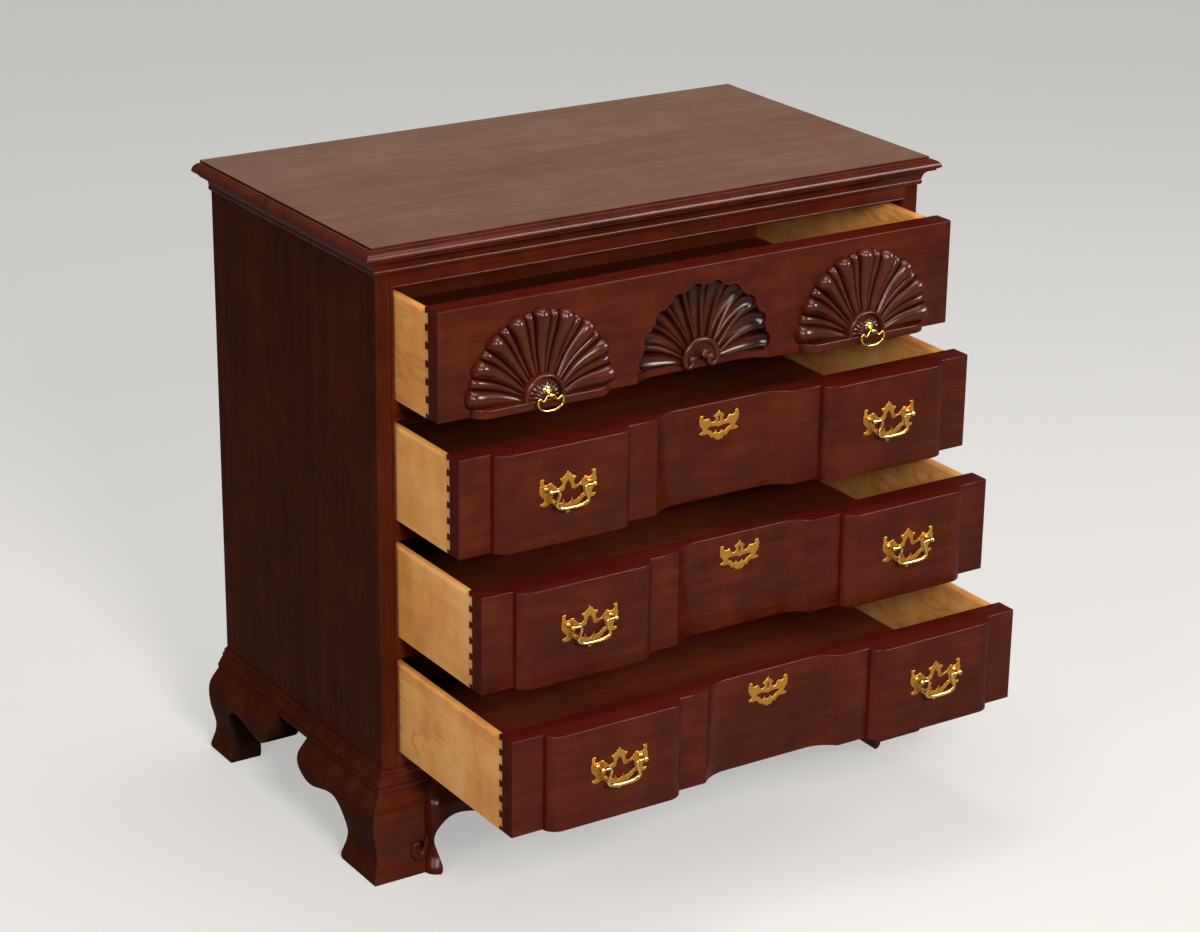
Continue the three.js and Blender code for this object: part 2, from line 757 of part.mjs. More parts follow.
function carvedFront(floor, height) {
  const half = frontHalfWidth;
  const board = block([-half, half], [0, frontThickness], [floor, floor + height]);
  const shells = sides.map(([, sign]) => raisedShell(sign, floor));
  return joined([board, ...shells]).subtract(sunkShell(floor));
}

// Profile of a ball on a neck, from the neck round to the axis, as [radius, reach]
function ballProfile(neckRadius, ballRadius, reach) {
  const profile = [];
  const start = Math.asin(neckRadius / ballRadius);
  for (let step = 0; step < ballSteps; step += 1) {
    const turn = start + (step / ballSteps) * (Math.PI - start);
    profile.push([ballRadius * Math.sin(turn), reach - ballRadius * Math.cos(turn)]);
  }
  return [...profile, [0, reach + ballRadius]];
}

function crossHole([x, y, z], radius, length) {
  const hole = new THREE.CylinderGeometry(radius, radius, length, bailSides);
  hole.rotateZ(Math.PI / 2);
  hole.translate(x, y, z);
  return toSolid(hole);
}

// Pierced plate with its two posts, on a face at y = face
function pullPlate(centreX, face, postZ) {
  const outline = symmetricOutline(plateOutlineShares, plateWidth, plateHeight, [centreX, postZ]);
  const hole = symmetricOutline(plateHoleShares, plateWidth, plateHeight, [centreX, postZ]);
  const plate = prism('y', outline, [face - plateThickness, face], [hole]);
  const plateFront = face - plateThickness;
  const posts = sides.map(([, sign]) => {
    const x = centreX + (sign * postSpacing) / 2;
    const profile = [
      [0, 0], [postFootRadius, 0], [postFootRadius, postFootHeight / 2], [postNeckRadius, postFootHeight],
      ...ballProfile(postNeckRadius, postBallRadius, postReach),
    ];
    const post = turned(profile, [x, plateFront, postZ], turnedSteps);
    const mouth = x - sign * (postBallRadius - bailHoleDepth / 2);
    const bore = bailEndRadius + bailHoleClearance;
    return post.subtract(crossHole([mouth, plateFront - postReach, postZ], bore, bailHoleDepth));
  });
  return joined([plate, ...posts]);
}

// Swan-neck handle hanging from pivots at the given height
function bail(centreX, pivotY, pivotZ, halfSpan, drop, shares, endX, endRadius, middleRadius) {
  const right = shares.map(([across, down]) => [centreX + across * halfSpan, pivotY, pivotZ + down * drop]);
  right[0][0] = centreX + endX;
  const left = right.map(([x, y, z]) => [2 * centreX - x, y, z]);
  const route = [...right, [centreX, pivotY, pivotZ - drop], ...left.reverse()];
  return taperedRod(route, endRadius, middleRadius, bailSteps, bailSides);
}

function escutcheon(face, centreZ) {
  const outline = symmetricOutline(escutcheonOutlineShares, escutcheonWidth, escutcheonHeight, [0, centreZ]);
  const hole = symmetricOutline(escutcheonHoleShares, escutcheonWidth, escutcheonHeight, [0, centreZ]);
  const plate = prism('y', outline, [face - escutcheonThickness, face], [hole]);
  const keyBottom = centreZ + keyholeLift - keyholeHeight / 2;
  const keyTop = keyBottom + keyholeHeight;
  const through = [face - escutcheonThickness - overrun, face + overrun];
  const slot = block([-keyholeWidth / 2, keyholeWidth / 2], through, [keyBottom, keyTop]);
  const eye = prism('y', disc(keyholeTopRadius, [0, keyTop], turnedSteps), through);
  return plate.subtract(slot).subtract(eye);
}

function rosette(x, face, z) {
  const profile = [
    [0, 0],
    ...rosetteShares.map(([out, up]) => [out * rosetteRadius, up * rosetteThickness]),
    [dropPostNeckRadius, rosetteThickness],
    ...ballProfile(dropPostNeckRadius, dropPostBallRadius, dropPostReach),
  ];
  const post = turned(profile, [x, face, z], 2 * turnedSteps);
  const holes = sides.map(([, sign]) => crossHole(
    [x + sign * (dropPostBallRadius - dropHoleDepth / 2), face - dropPostReach, z],
    dropBailRadius + bailHoleClearance,
    dropHoleDepth,
  ));
  return cutBy(post, holes);
}

// Case
addNode(chest, 'top', topBoard(), mahogany);
addNode(chest, 'cove_moulding', coveMoulding(), mahogany);
addNode(chest, 'top_rail', topRail(), mahogany);
sides.forEach(([side, sign]) => addNode(chest, `side_${side}`, caseSide(sign), sideMahogany));
addNode(
  chest,
  'back_panel',
  block([-innerHalfWidth, innerHalfWidth], [backFace, caseDepth], [footHeight, topUnderside]),
  innerWood,
);
bladeHeights.forEach((height, index) => {
  const bladeTop = openingFloors[index];
  addNode(chest, `drawer_blade_${index + 1}`, blockedRail(bladeTop - height, bladeTop), mahogany);
  addNode(chest, `dustboard_${index + 1}`, runningBoard(bladeTop, dustboardThickness), innerWood);
});
addNode(chest, 'bottom_rail', blockedRail(footHeight, bottomRailTop), mahogany);
addNode(chest, 'bottom_board', runningBoard(bottomRailTop, bottomBoardThickness), innerWood);
addNode(chest, 'base_moulding_front', baseMouldingFront(), mahogany);
sides.forEach(([side, sign]) => addNode(chest, `base_moulding_${side}`, baseMouldingSide(sign), mahogany));
sides.forEach(([side, sign]) => addNode(chest, `foot_front_${side}`, frontFoot(sign), mahogany));
sides.forEach(([side, sign]) => addNode(chest, `foot_rear_${side}`, rearFoot(sign), mahogany));

// Drawers with their brasses, each slid forward by its opening
drawerHeights.forEach((height, index) => {
  const number = index + 1;
  const floor = openingFloors[index] + drawerGap;
  const drawer = new THREE.Group();
  drawer.position.y = -drawerOpenings[index];
  const front = index === 0 ? carvedFront(floor, height) : blockedFront(floor, height);
  addNode(drawer, `drawer_${number}_front`, jointedFront(front, floor, height), mahogany);
  sides.forEach(([side, sign]) => {
    addNode(drawer, `drawer_${number}_side_${side}`, boxSide(sign, floor, height), maple);
  });
  addNode(drawer, `drawer_${number}_back`, boxBack(floor, height), maple);
  addNode(drawer, `drawer_${number}_bottom`, boxBottom(floor), innerWood);
  sides.forEach(([side, sign]) => {
    const x = sign * blockCentre;
    if (index === 0) {
      const z = floor + dropPullLift;
      addNode(drawer, `rosette_${number}_${side}`, rosette(x, -hubRise, z), brass);
      const drop = bail(
        x, -hubRise - dropPostReach, z, dropBailWidth / 2, dropBailDrop, dropRouteShares,
        dropPostBallRadius - dropHoleDepth / 2, dropBailRadius, dropBailMiddleRadius,
      );
      addNode(drawer, `drop_bail_${number}_${side}`, drop, brass);
    } else {
      const z = floor + height - postDrop;
      addNode(drawer, `pull_plate_${number}_${side}`, pullPlate(x, -blockRise, z), brass);
      const handle = bail(
        x, -blockRise - plateThickness - postReach, z, postSpacing / 2, bailDrop, bailRouteShares,
        postSpacing / 2 - postBallRadius + bailHoleDepth / 2, bailEndRadius, bailMiddleRadius,
      );
      addNode(drawer, `bail_${number}_${side}`, handle, brass);
    }
  });
  if (index > 0) {
    addNode(drawer, `escutcheon_${number}`, escutcheon(recessDepth, floor + height - escutcheonDrop), brass);
  }
  chest.add(drawer);
});

// Origin at the centre of the footprint, on the floor
const extent = new THREE.Box3().setFromObject(chest);
const originShift = -Math.round((extent.min.y + extent.max.y) / 2);
chest.children.forEach((child) => {
  child.position.y += originShift;
});

export default chest;
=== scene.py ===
from math import asin, cos, pi, radians, sin

import bmesh
import bpy
from mathutils import Matrix, Vector


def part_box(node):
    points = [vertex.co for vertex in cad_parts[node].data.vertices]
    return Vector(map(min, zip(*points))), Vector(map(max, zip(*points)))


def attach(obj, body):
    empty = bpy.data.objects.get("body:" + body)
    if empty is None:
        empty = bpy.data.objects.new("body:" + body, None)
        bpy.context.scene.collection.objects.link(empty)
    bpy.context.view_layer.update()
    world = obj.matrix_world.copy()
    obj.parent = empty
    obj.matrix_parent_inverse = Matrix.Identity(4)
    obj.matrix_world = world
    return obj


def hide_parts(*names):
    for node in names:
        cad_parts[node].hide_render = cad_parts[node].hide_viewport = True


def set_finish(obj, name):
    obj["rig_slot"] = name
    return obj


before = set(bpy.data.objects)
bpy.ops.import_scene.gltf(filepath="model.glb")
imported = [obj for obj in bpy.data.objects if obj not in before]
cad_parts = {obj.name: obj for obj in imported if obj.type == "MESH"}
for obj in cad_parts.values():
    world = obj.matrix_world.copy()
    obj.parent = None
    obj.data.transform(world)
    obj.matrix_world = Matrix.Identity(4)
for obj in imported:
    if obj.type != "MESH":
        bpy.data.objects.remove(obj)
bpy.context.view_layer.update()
scene = bpy.context.scene
scene.view_settings.view_transform = "Standard"
millimetre = 0.001

# The case's front plane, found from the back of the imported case
caseDepth = 464
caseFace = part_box("back_panel")[1].y / millimetre - caseDepth
print("frame loaded")


# Camera
cameraSettings = {
    "place": (-2151.9, -3190.8, 1957.2),
    "turn": -32.86,
    "drop": 20.77,
    "roll": 0.70,
    "focalPixels": 3041.94,
    "imageWidth": 1200,
    "sensorWidth": 36,
}


def addCamera(look):
    turn, drop, roll = (radians(look[name]) for name in ("turn", "drop", "roll"))
    back = Vector((sin(turn) * cos(drop), -cos(turn) * cos(drop), sin(drop)))
    level = (-back).cross(Vector((0, 0, 1))).normalized()
    upright = level.cross(-back)
    across = level * cos(roll) + upright * sin(roll)
    up = upright * cos(roll) - level * sin(roll)
    camera = bpy.data.objects.new("camera", bpy.data.cameras.new("camera"))
    camera.data.sensor_width = look["sensorWidth"]
    camera.data.lens = look["focalPixels"] * look["sensorWidth"] / look["imageWidth"]
    x, y, z = look["place"]
    matrix = Matrix((across, up, back)).transposed().to_4x4()
    matrix.translation = Vector((x, y + caseFace, z)) * millimetre
    camera.matrix_world = matrix
    scene.collection.objects.link(camera)
    scene.camera = camera


addCamera(cameraSettings)
print("camera set")


# A socket of a shader node that works in sums
class Signal:
    def __init__(self, shader, socket):
        self.shader = shader
        self.socket = socket

    def maths(self, operation, other=0.0, first=None):
        start = self if first is None else first
        return self.shader.node("Math", {"operation": operation}, {0: start, 1: other})

    def __add__(self, other):
        return self.maths("ADD", other)

    def __sub__(self, other):
        return self.maths("SUBTRACT", other)

    def __rsub__(self, other):
        return self.maths("SUBTRACT", self, other)

    def __mul__(self, other):
        return self.maths("MULTIPLY", other)

    __radd__ = __add__
    __rmul__ = __mul__


# One material, or the world, and the nodes in it
class Shader:
    def __init__(self, name, world=None):
        self.owner = world or bpy.data.materials.new(name)
        self.owner.use_nodes = True
        self.tree = self.owner.node_tree
        self.tree.nodes.clear()

    def node(self, kind, settings=None, inputs=None, output=0):
        made = self.tree.nodes.new("ShaderNode" + kind)
        for name, value in (settings or {}).items():
            if name == "stops":
                self.fillRamp(made.color_ramp, value)
            else:
                setattr(made, name, value)
        for name, value in (inputs or {}).items():
            if isinstance(value, Signal):
                self.tree.links.new(value.socket, made.inputs[name])
            else:
                made.inputs[name].default_value = value
        return Signal(self, made.outputs[output]) if made.outputs else None

    def fillRamp(self, ramp, stops):
        while len(ramp.elements) < len(stops):
            ramp.elements.new(1)
        for element, (position, colour) in zip(ramp.elements, stops):
            element.position = position
            element.color = (*colour, 1)

    def place(self):
        return self.node("TexCoord", None, None, "Object")

    # Painted shade in the carving, with some dark polish gathered there, as a share at each point
    def hollow(self):
        return self.node("Attribute", {"attribute_name": "hollow"}, None, "Fac")

    def noise(self, vector, scale, detail, roughness=0.5):
        inputs = {"Vector": vector, "Scale": scale, "Detail": detail, "Roughness": roughness}
        return self.node("TexNoise", None, inputs)

    def vectorMaths(self, operation, first, second):
        return self.node("VectorMath", {"operation": operation}, {0: first, 1: second})

    def mix(self, share, first, second, blend="MIX"):
        settings = {"data_type": "RGBA", "blend_type": blend, "clamp_factor": True}
        low, high = (colour if isinstance(colour, Signal) else (*colour, 1) for colour in (first, second))
        return self.node("Mix", settings, {0: share, 6: low, 7: high}, 2)

    def ramp(self, value, stops):
        return self.node("ValToRGB", {"stops": stops}, {0: value})

    def between(self, value, low, high):
        settings = {"interpolation_type": "SMOOTHSTEP"}
        return self.node("MapRange", settings, {0: value, 1: low, 2: high, 3: 0.0, 4: 1.0})

    # 1 for the rays that show a background: the camera's own, and those by way of metal or glass
    def seen(self):
        kinds = ("Is Camera Ray", "Is Glossy Ray", "Is Transmission Ray")
        camera, glossy, through = (self.node("LightPath", None, None, kind) for kind in kinds)
        return camera + glossy + through

    def finish(self, surface):
        self.node("OutputMaterial", None, {0: surface})
        return self.owner


# What all woods share, unless their own looks say otherwise
anyWood = {
    "axis": 0, "bands": 24, "along": 3, "fibreDepth": 0.26, "mottle": 0.3, "rings": 0.3,
    "boardAxis": 1, "boardWidth": 0, "specular": 0, "coat": 0, "coatRoughness": 0.3, "bump": 0.05,
    # noises, as their scales across and along the grain, their detail and their roughness
    "drift": (7, 2.5, 2, 0.5), "clouds": (11, 19, 4, 0.55), "pores": (1500, 60, 1, 0.5),
    "swirl": (16, 5, 2, 0.5), "patches": (9, 5, 2, 0.5), "fibreRun": (16, 3, 0.6), "figure": (1, 7, 0.6),
    # where each of them starts and ends
    "poreLimits": (0.62, 0.72), "swirlLimits": (0.2, 1), "patchLimits": (0.5, 0.62),
    "fibreLimits": (0.35, 0.75), "seamLimits": (0.492, 0.498), "toneStops": (0.30, 0.5, 0.72),
    # how strongly each of them shows in the colour, the gloss and the relief
    "driftDepth": 1.6, "figureDepth": 0.5, "swirlTurns": 60, "ringDepth": 0.16, "boardShift": 0.31,
    "seamDepth": 0.8, "poreDepth": 0.5, "hollowShade": 0.18, "glossDepth": 0.16,
    "fibreRelief": 0.6, "poreRelief": -0.8, "figureRelief": 0.4, "relief": 0.6,
}
# Woods with their grain along one axis of the chest, and boards side by side along another
woodLooks = {
    "front_mahogany": {
        "dark": (0.034, 0.0050, 0.0017), "middle": (0.065, 0.0098, 0.0029), "light": (0.102, 0.0185, 0.0048),
        "bands": 62, "along": 8, "fibre": 620, "mottle": 0.5,
        "roughness": 0.26, "coat": 0.18, "coatRoughness": 0.24, "bump": 0.07,
    },
    # Paler copy of the mahogany for the top's upward faces: painted sheen from the surround, over real board
    # tones
    "top_mahogany": {
        "dark": (0.138, 0.0640, 0.0420), "middle": (0.158, 0.0850, 0.0580), "light": (0.180, 0.112, 0.079),
        "bands": 36, "along": 4, "fibre": 480, "fibreDepth": 0.20,
        "boardWidth": 118, "boardTone": 0.13, "roughness": 0.34, "coat": 0.03,
    },
    # Mahogany of the case sides and the feet's side faces: upright grain and boards of its own, and a little
    # darker than the fronts, partly as painted shade on the sides
    "side_mahogany": {
        "dark": (0.034, 0.0056, 0.0019), "middle": (0.058, 0.0103, 0.0030), "light": (0.090, 0.0182, 0.0052),
        "axis": 2, "bands": 40, "fibre": 520, "rings": 0.5,
        "boardWidth": 132, "boardTone": 0.05, "roughness": 0.32, "coat": 0.045, "coatRoughness": 0.16,
    },
    "edge_mahogany": {
        "dark": (0.036, 0.0034, 0.0018), "middle": (0.062, 0.0056, 0.0026), "light": (0.088, 0.0094, 0.0040),
        "bands": 60, "fibre": 620, "fibreDepth": 0.24, "mottle": 0.24, "rings": 0,
        "roughness": 0.30, "coat": 0.08, "coatRoughness": 0.14, "bump": 0.04,
    },
    "maple": {
        "dark": (0.63, 0.250, 0.060), "middle": (0.78, 0.348, 0.090), "light": (0.88, 0.465, 0.160),
        "axis": 1, "bands": 20, "along": 6, "fibre": 460, "fibreDepth": 0.10, "mottle": 0.8, "rings": 1.4,
        "boardAxis": 2, "boardWidth": 76, "boardTone": 0.12,
        "roughness": 0.46, "specular": 0.15, "coat": 0.08, "bump": 0.04,
    },
    "inner_wood": {
        "dark": (0.105, 0.0175, 0.0064), "middle": (0.168, 0.0310, 0.0104), "light": (0.225, 0.048, 0.0165),
        "along": 2, "fibre": 380, "boardWidth": 110, "boardTone": 0.16, "roughness": 0.6, "bump": 0.10,
    },
    # Near black wood for the rear brackets, glue blocks and the rear feet's forward cut faces under the case:
    # painted shade
    "stained_wood": {
        "dark": (0.012, 0.0050, 0.0030), "middle": (0.022, 0.0090, 0.0050), "light": (0.036, 0.0150, 0.0080),
        "axis": 2, "fibre": 300, "fibreDepth": 0.3, "rings": 0, "roughness": 0.7, "bump": 0.12,
    },
}
woodLooks["shell_mahogany"] = {**woodLooks["front_mahogany"], "coat": 0.34, "coatRoughness": 0.22}
noiseMiddle = 0.5


def woodMaterial(name, look):
    shader = Shader(name)
    place = shader.place()

    def stretched(across, along):
        scales = [across] * 3
        scales[look["axis"]] = along
        return shader.vectorMaths("MULTIPLY", place, scales)

    def grain(across, along, detail, roughness):
        return shader.noise(stretched(across, along), 1, detail, roughness)

    # slow waves that bend the bands of the figure
    drift = grain(*look["drift"]) * look["driftDepth"]
    bend = shader.node("CombineXYZ", None, dict.fromkeys(range(3), drift))
    banded = shader.vectorMaths("ADD", stretched(look["bands"], look["along"]), bend)
    figure = shader.noise(banded, *look["figure"])
    clouds = grain(*look["clouds"])
    fibre = grain(look["fibre"], *look["fibreRun"])
    pores = shader.between(grain(*look["pores"]), *look["poreLimits"])
    tone = (figure - noiseMiddle) * look["figureDepth"]
    tone = tone + (clouds - noiseMiddle) * look["mottle"] + noiseMiddle
    if look["rings"]:
        swirl = (grain(*look["swirl"]) * look["swirlTurns"]).maths("SINE")
        patches = shader.between(grain(*look["patches"]), *look["patchLimits"])
        rings = shader.between(swirl, *look["swirlLimits"]) * patches
        tone = tone - rings * (look["ringDepth"] * look["rings"])
    if look["boardWidth"]:
        across = shader.node("SeparateXYZ", None, {0: place}, look["boardAxis"])
        across = across * (1 / (look["boardWidth"] * millimetre)) + look["boardShift"]
        board = across.maths("FLOOR")
        shade = shader.node("TexWhiteNoise", {"noise_dimensions": "1D"}, {"W": board}, "Value")
        seam = shader.between((across - board - noiseMiddle).maths("ABSOLUTE"), *look["seamLimits"])
        tone = tone + ((shade - noiseMiddle) - seam * look["seamDepth"]) * look["boardTone"]
    colours = [look[part] for part in ("dark", "middle", "light")]
    colour = shader.ramp(tone, list(zip(look["toneStops"], colours)))
    lines = shader.between(fibre, *look["fibreLimits"]) + pores * look["poreDepth"]
    streaks = 1 - lines * look["fibreDepth"]
    grey = shader.node("CombineColor", None, dict.fromkeys(range(3), streaks))
    colour = shader.mix(1.0, colour, grey, "MULTIPLY")
    # painted shade where the carving sets it (grooves, flutes, the sunk shell's rim, the scroll's eye), with
    # some dark polish gathered there
    colour = shader.mix(shader.hollow(), colour, [part * look["hollowShade"] for part in look["dark"]])
    height = fibre * look["fibreRelief"] + pores * look["poreRelief"] + figure * look["figureRelief"]
    return shader.finish(shader.node("BsdfPrincipled", None, {
        "Base Color": colour,
        "Roughness": (figure - noiseMiddle) * look["glossDepth"] + look["roughness"],
        "Specular IOR Level": look["specular"],
        "Normal": shader.node("Bump", None, {
            "Strength": look["bump"], "Distance": look["relief"] * millimetre, "Height": height,
        }),
        "Coat Weight": look["coat"],
        "Coat Roughness": look["coatRoughness"],
    }))


anyBrass = {
    "patches": (160, 4, 0.6), "grimeLimits": (0.45, 0.72), "grimeShade": 0.55, "grimeGloss": 0.16,
    "grain": (900, 2), "relief": 0.4, "coatRoughness": 0.06,
}
brassLooks = {
    "plate_brass": {
        "bright": (0.39, 0.190, 0.030), "dull": (0.19, 0.085, 0.013),
        "roughness": 0.34, "bump": 0.05, "coat": 0.10,
    },
    "polished_brass": {
        "bright": (0.46, 0.26, 0.068), "dull": (0.24, 0.115, 0.028),
        "roughness": 0.12, "bump": 0.03, "coat": 0.18,
    },
}


def brassMaterial(name, look):
    shader = Shader(name)
    place = shader.place()
    grime = shader.between(shader.noise(place, *look["patches"]), *look["grimeLimits"])
    return shader.finish(shader.node("BsdfPrincipled", None, {
        "Base Color": shader.mix(grime * look["grimeShade"] + shader.hollow(), look["bright"], look["dull"]),
        "Metallic": 1.0,
        "Roughness": grime * look["grimeGloss"] + look["roughness"],
        "Normal": shader.node("Bump", None, {
            "Strength": look["bump"], "Distance": look["relief"] * millimetre,
            "Height": shader.noise(place, *look["grain"]),
        }),
        "Coat Weight": look["coat"],
        "Coat Roughness": look["coatRoughness"],
    }))


materials = {name: woodMaterial(name, {**anyWood, **look}) for name, look in woodLooks.items()}
materials.update((name, brassMaterial(name, {**anyBrass, **look})) for name, look in brassLooks.items())
slots = {
    "front_mahogany": "mahogany", "top_mahogany": "mahogany", "side_mahogany": "side_mahogany",
    "edge_mahogany": "mahogany", "shell_mahogany": "mahogany", "maple": "maple",
    "inner_wood": "inner_wood", "stained_wood": "inner_wood",
    "plate_brass": "brass", "polished_brass": "brass",
}
print("materials made")


# Angles from one to another in even steps
def turnsBetween(first, last, steps):
    return [first + (last - first) * step / steps for step in range(steps + 1)]


def around(centre, radius, turn):
    return centre[0] + radius * cos(turn), centre[1] + radius * sin(turn)


# Shapes are (points, faces, shades), where the third list gives each point's share of painted shade, with
# some gathered polish
def shape(points, faces, hollows=None):
    return points, faces, hollows or [0.0] * len(points)


def joined(*shapes):
    points, faces, hollows = [], [], []
    for somePoints, someFaces, someHollows in shapes:
        faces += [[corner + len(points) for corner in face] for face in someFaces]
        points += somePoints
        hollows += someHollows
    return points, faces, hollows


# Closed shape through rings with equal point counts, capped at both ends
def loft(rings):
    count = len(rings[0])
    faces = []
    for ring in range(len(rings) - 1):
        for step in range(count):
            following = (step + 1) % count
            low, high = ring * count, (ring + 1) * count
            faces.append([low + step, low + following, high + following, high + step])
    last = (len(rings) - 1) * count
    faces.append(list(range(count))[::-1])
    faces.append([last + step for step in range(count)])
    return shape([point for ring in rings for point in ring], faces)


# Outline pushed along an axis. Outline points are (y, z), (x, z) or (x, y).
def prism(axis, outline, low, high):
    place = {
        "x": lambda a, b, at: (at, a, b),
        "y": lambda a, b, at: (a, at, b),
        "z": lambda a, b, at: (a, b, at),
    }[axis]
    return loft([[place(a, b, at) for a, b in outline] for at in (low, high)])


def box(xLimits, yLimits, zLimits):
    (x0, x1), (y0, y1), z = sorted(xLimits), sorted(yLimits), sorted(zLimits)
    return prism("z", [(x0, y0), (x1, y0), (x1, y1), (x0, y1)], *z)


# Turned piece standing out towards the front from y = face. The profile is (radius, reach).
def turned(profile, centre, face, steps=28):
    rings = []
    for radius, reach in profile:
        circle = [around(centre, radius, turn) for turn in turnsBetween(0, 2 * pi, steps)[:-1]]
        rings.append([(x, face - reach, z) for x, z in circle])
    return loft(rings)


# Plan line that moves out and up by a profile of (out, z), on the left or the right
def moulded(planAt, profile, sign=1):
    return loft([[(sign * x, y, z) for x, y in planAt(out)] for out, z in profile])


# Smooth line through points of any dimension, with extra points between each two
def smoothLine(points, extra, closed=False):
    count = len(points)
    spans = count if closed else count - 1
    line = []
    for span in range(spans):
        picks = [span - 1, span, span + 1, span + 2]
        if closed:
            picks = [pick % count for pick in picks]
        else:
            picks = [min(max(pick, 0), count - 1) for pick in picks]
        a, b, c, d = (Vector(points[pick]) for pick in picks)
        for step in range(extra):
            t = step / extra
            line.append(0.5 * (
                2 * b + (c - a) * t + (2 * a - 5 * b + 4 * c - d) * t ** 2 + (3 * b - a - 3 * c + d) * t ** 3
            ))
    if not closed:
        line.append(Vector(points[-1]))
    return [tuple(point) for point in line]


# Round rod along a line in the plane y = plane, with its radius from the share of the way along
def rod(line, plane, radiusAt, facets=14):
    rings = []
    last = len(line) - 1
    for index, (x, z) in enumerate(line):
        before, after = line[max(index - 1, 0)], line[min(index + 1, last)]
        heading = Vector((after[0] - before[0], after[1] - before[1])).normalized()
        radius = radiusAt(index / last)
        ring = []
        for turn in turnsBetween(0, 2 * pi, facets)[:-1]:
            out, forward = around((0, 0), radius, turn)
            ring.append((x - heading.y * out, plane - forward, z + heading.x * out))
        rings.append(ring)
    return loft(rings)


# Value at a share of the way along a profile of (share, value)
def valueAt(profile, share):
    for (lowShare, low), (highShare, high) in zip(profile, profile[1:]):
        if share <= highShare:
            part = (share - lowShare) / (highShare - lowShare)
            return low + (high - low) * part
    return profile[-1][1]


# Faces of a grid of points that is stored column by column
def gridFaces(columns, rows):
    return [
        [c * rows + r, (c + 1) * rows + r, (c + 1) * rows + r + 1, c * rows + r + 1]
        for c in range(columns - 1) for r in range(rows - 1)
    ]


def mirrored(points):
    return [(-x, *rest) for x, *rest in points]


# Points this near to each other become one
weldDistance = 0.002


# Mesh object in metres from a shape in millimetres, with its front plane at y = face
def makeObject(name, someShape, face):
    points, faces, hollows = someShape
    mesh = bpy.data.meshes.new(name)
    placed = [(x * millimetre, (y + face) * millimetre, z * millimetre) for x, y, z in points]
    mesh.from_pydata(placed, [], faces)
    # each point's share of painted shade, with some gathered polish, which darkens the wood's colour
    attribute = mesh.attributes.new("hollow", "FLOAT", "POINT")
    attribute.data.foreach_set("value", hollows)
    work = bmesh.new()
    work.from_mesh(mesh)
    bmesh.ops.remove_doubles(work, verts=work.verts, dist=weldDistance * millimetre)
    bmesh.ops.recalc_face_normals(work, faces=work.faces)
    work.to_mesh(mesh)
    work.free()
    made = bpy.data.objects.new(name, mesh)
    scene.collection.objects.link(made)
    return made


def cut(piece, someShape, face):
    cutter = makeObject(piece.name + "_cutter", someShape, face)
    modifier = piece.modifiers.new("cut", "BOOLEAN")
    modifier.operation = "DIFFERENCE"
    modifier.solver = "EXACT"
    modifier.object = cutter
    graph = bpy.context.evaluated_depsgraph_get()
    mesh = bpy.data.meshes.new_from_object(piece.evaluated_get(graph))
    piece.modifiers.clear()
    piece.data = mesh
    bpy.data.objects.remove(cutter)


# Rounds off the edges that turn by more than an angle
def soften(piece, width, segments=3, angle=40):
    bevel = piece.modifiers.new("softened edges", "BEVEL")
    bevel.width = width * millimetre
    bevel.segments = segments
    bevel.limit_method = "ANGLE"
    bevel.angle_limit = radians(angle)
    bevel.miter_outer = "MITER_ARC"


# Angles under which a piece's faces are shaded as one surface
smoothing = {"plain": 32, "blocked": 40, "carved": 50, "scroll": 60}


# Piece on its body, in place of a CAD node: cut, softened and shaded. A second look is (look, cosine, ways).
# A face gets it where the cosine between its normal and one of the ways is larger.
def addPiece(name, someShape, face, look, body, node, smooth="plain", cutters=(), arris=None, second=None):
    piece = makeObject(name, someShape, face)
    for cutter in cutters:
        cut(piece, cutter, face)
    if arris:
        soften(piece, *arris)
    mesh = piece.data
    mesh.shade_smooth()
    mesh.set_sharp_from_angle(angle=radians(smoothing[smooth]))
    mesh.materials.clear()
    mesh.materials.append(materials[look])
    if second:
        secondLook, cosine, *ways = second
        mesh.materials.append(materials[secondLook])
        for side in mesh.polygons:
            side.material_index = int(any(side.normal.dot(Vector(way)) > cosine for way in ways))
    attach(piece, body)
    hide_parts(node)
    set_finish(piece, slots[look])


def addCasePiece(name, someShape, node, look="front_mahogany", **finish):
    addPiece(name, someShape, caseFace, look, "case", node, **finish)


# Plan line of the blocked front from left to right, pushed out by a moulding's projection
blocking = {
    "outerEdge": 355, "innerEdge": 151.5, "recessEdge": 107, "rise": 17, "recess": 17,
    "roundRun": 22, "sweepRun": 42, "sideShare": 0.6, "steps": 14,
}


def blockedLine(projection=0.0, sideShare=blocking["sideShare"]):
    look = blocking
    shift = projection * sideShare
    outer, inner = look["outerEdge"] + shift, look["innerEdge"] - shift
    sunk = look["recessEdge"] - shift
    run, depth, steps = look["sweepRun"], look["recess"], look["steps"]
    radius = (run ** 2 + depth ** 2) / (2 * depth)
    whole = asin(run / radius)
    rising = [
        (look["roundRun"] * (1 - cos(turn)), -look["rise"] * sin(turn))
        for turn in turnsBetween(0, pi / 2, steps)
    ]
    half = [(-outer + across, y) for across, y in rising]
    half += [(-inner - across, y) for across, y in reversed(rising)]
    for turn in reversed(turnsBetween(0, whole, steps)):
        half.append((-sunk + run - radius * sin(turn), depth - radius * (1 - cos(turn))))
    return [(x, y - projection) for x, y in half + mirrored(half)[::-1]]


blockCentre = (blocking["outerEdge"] + blocking["innerEdge"]) / 2


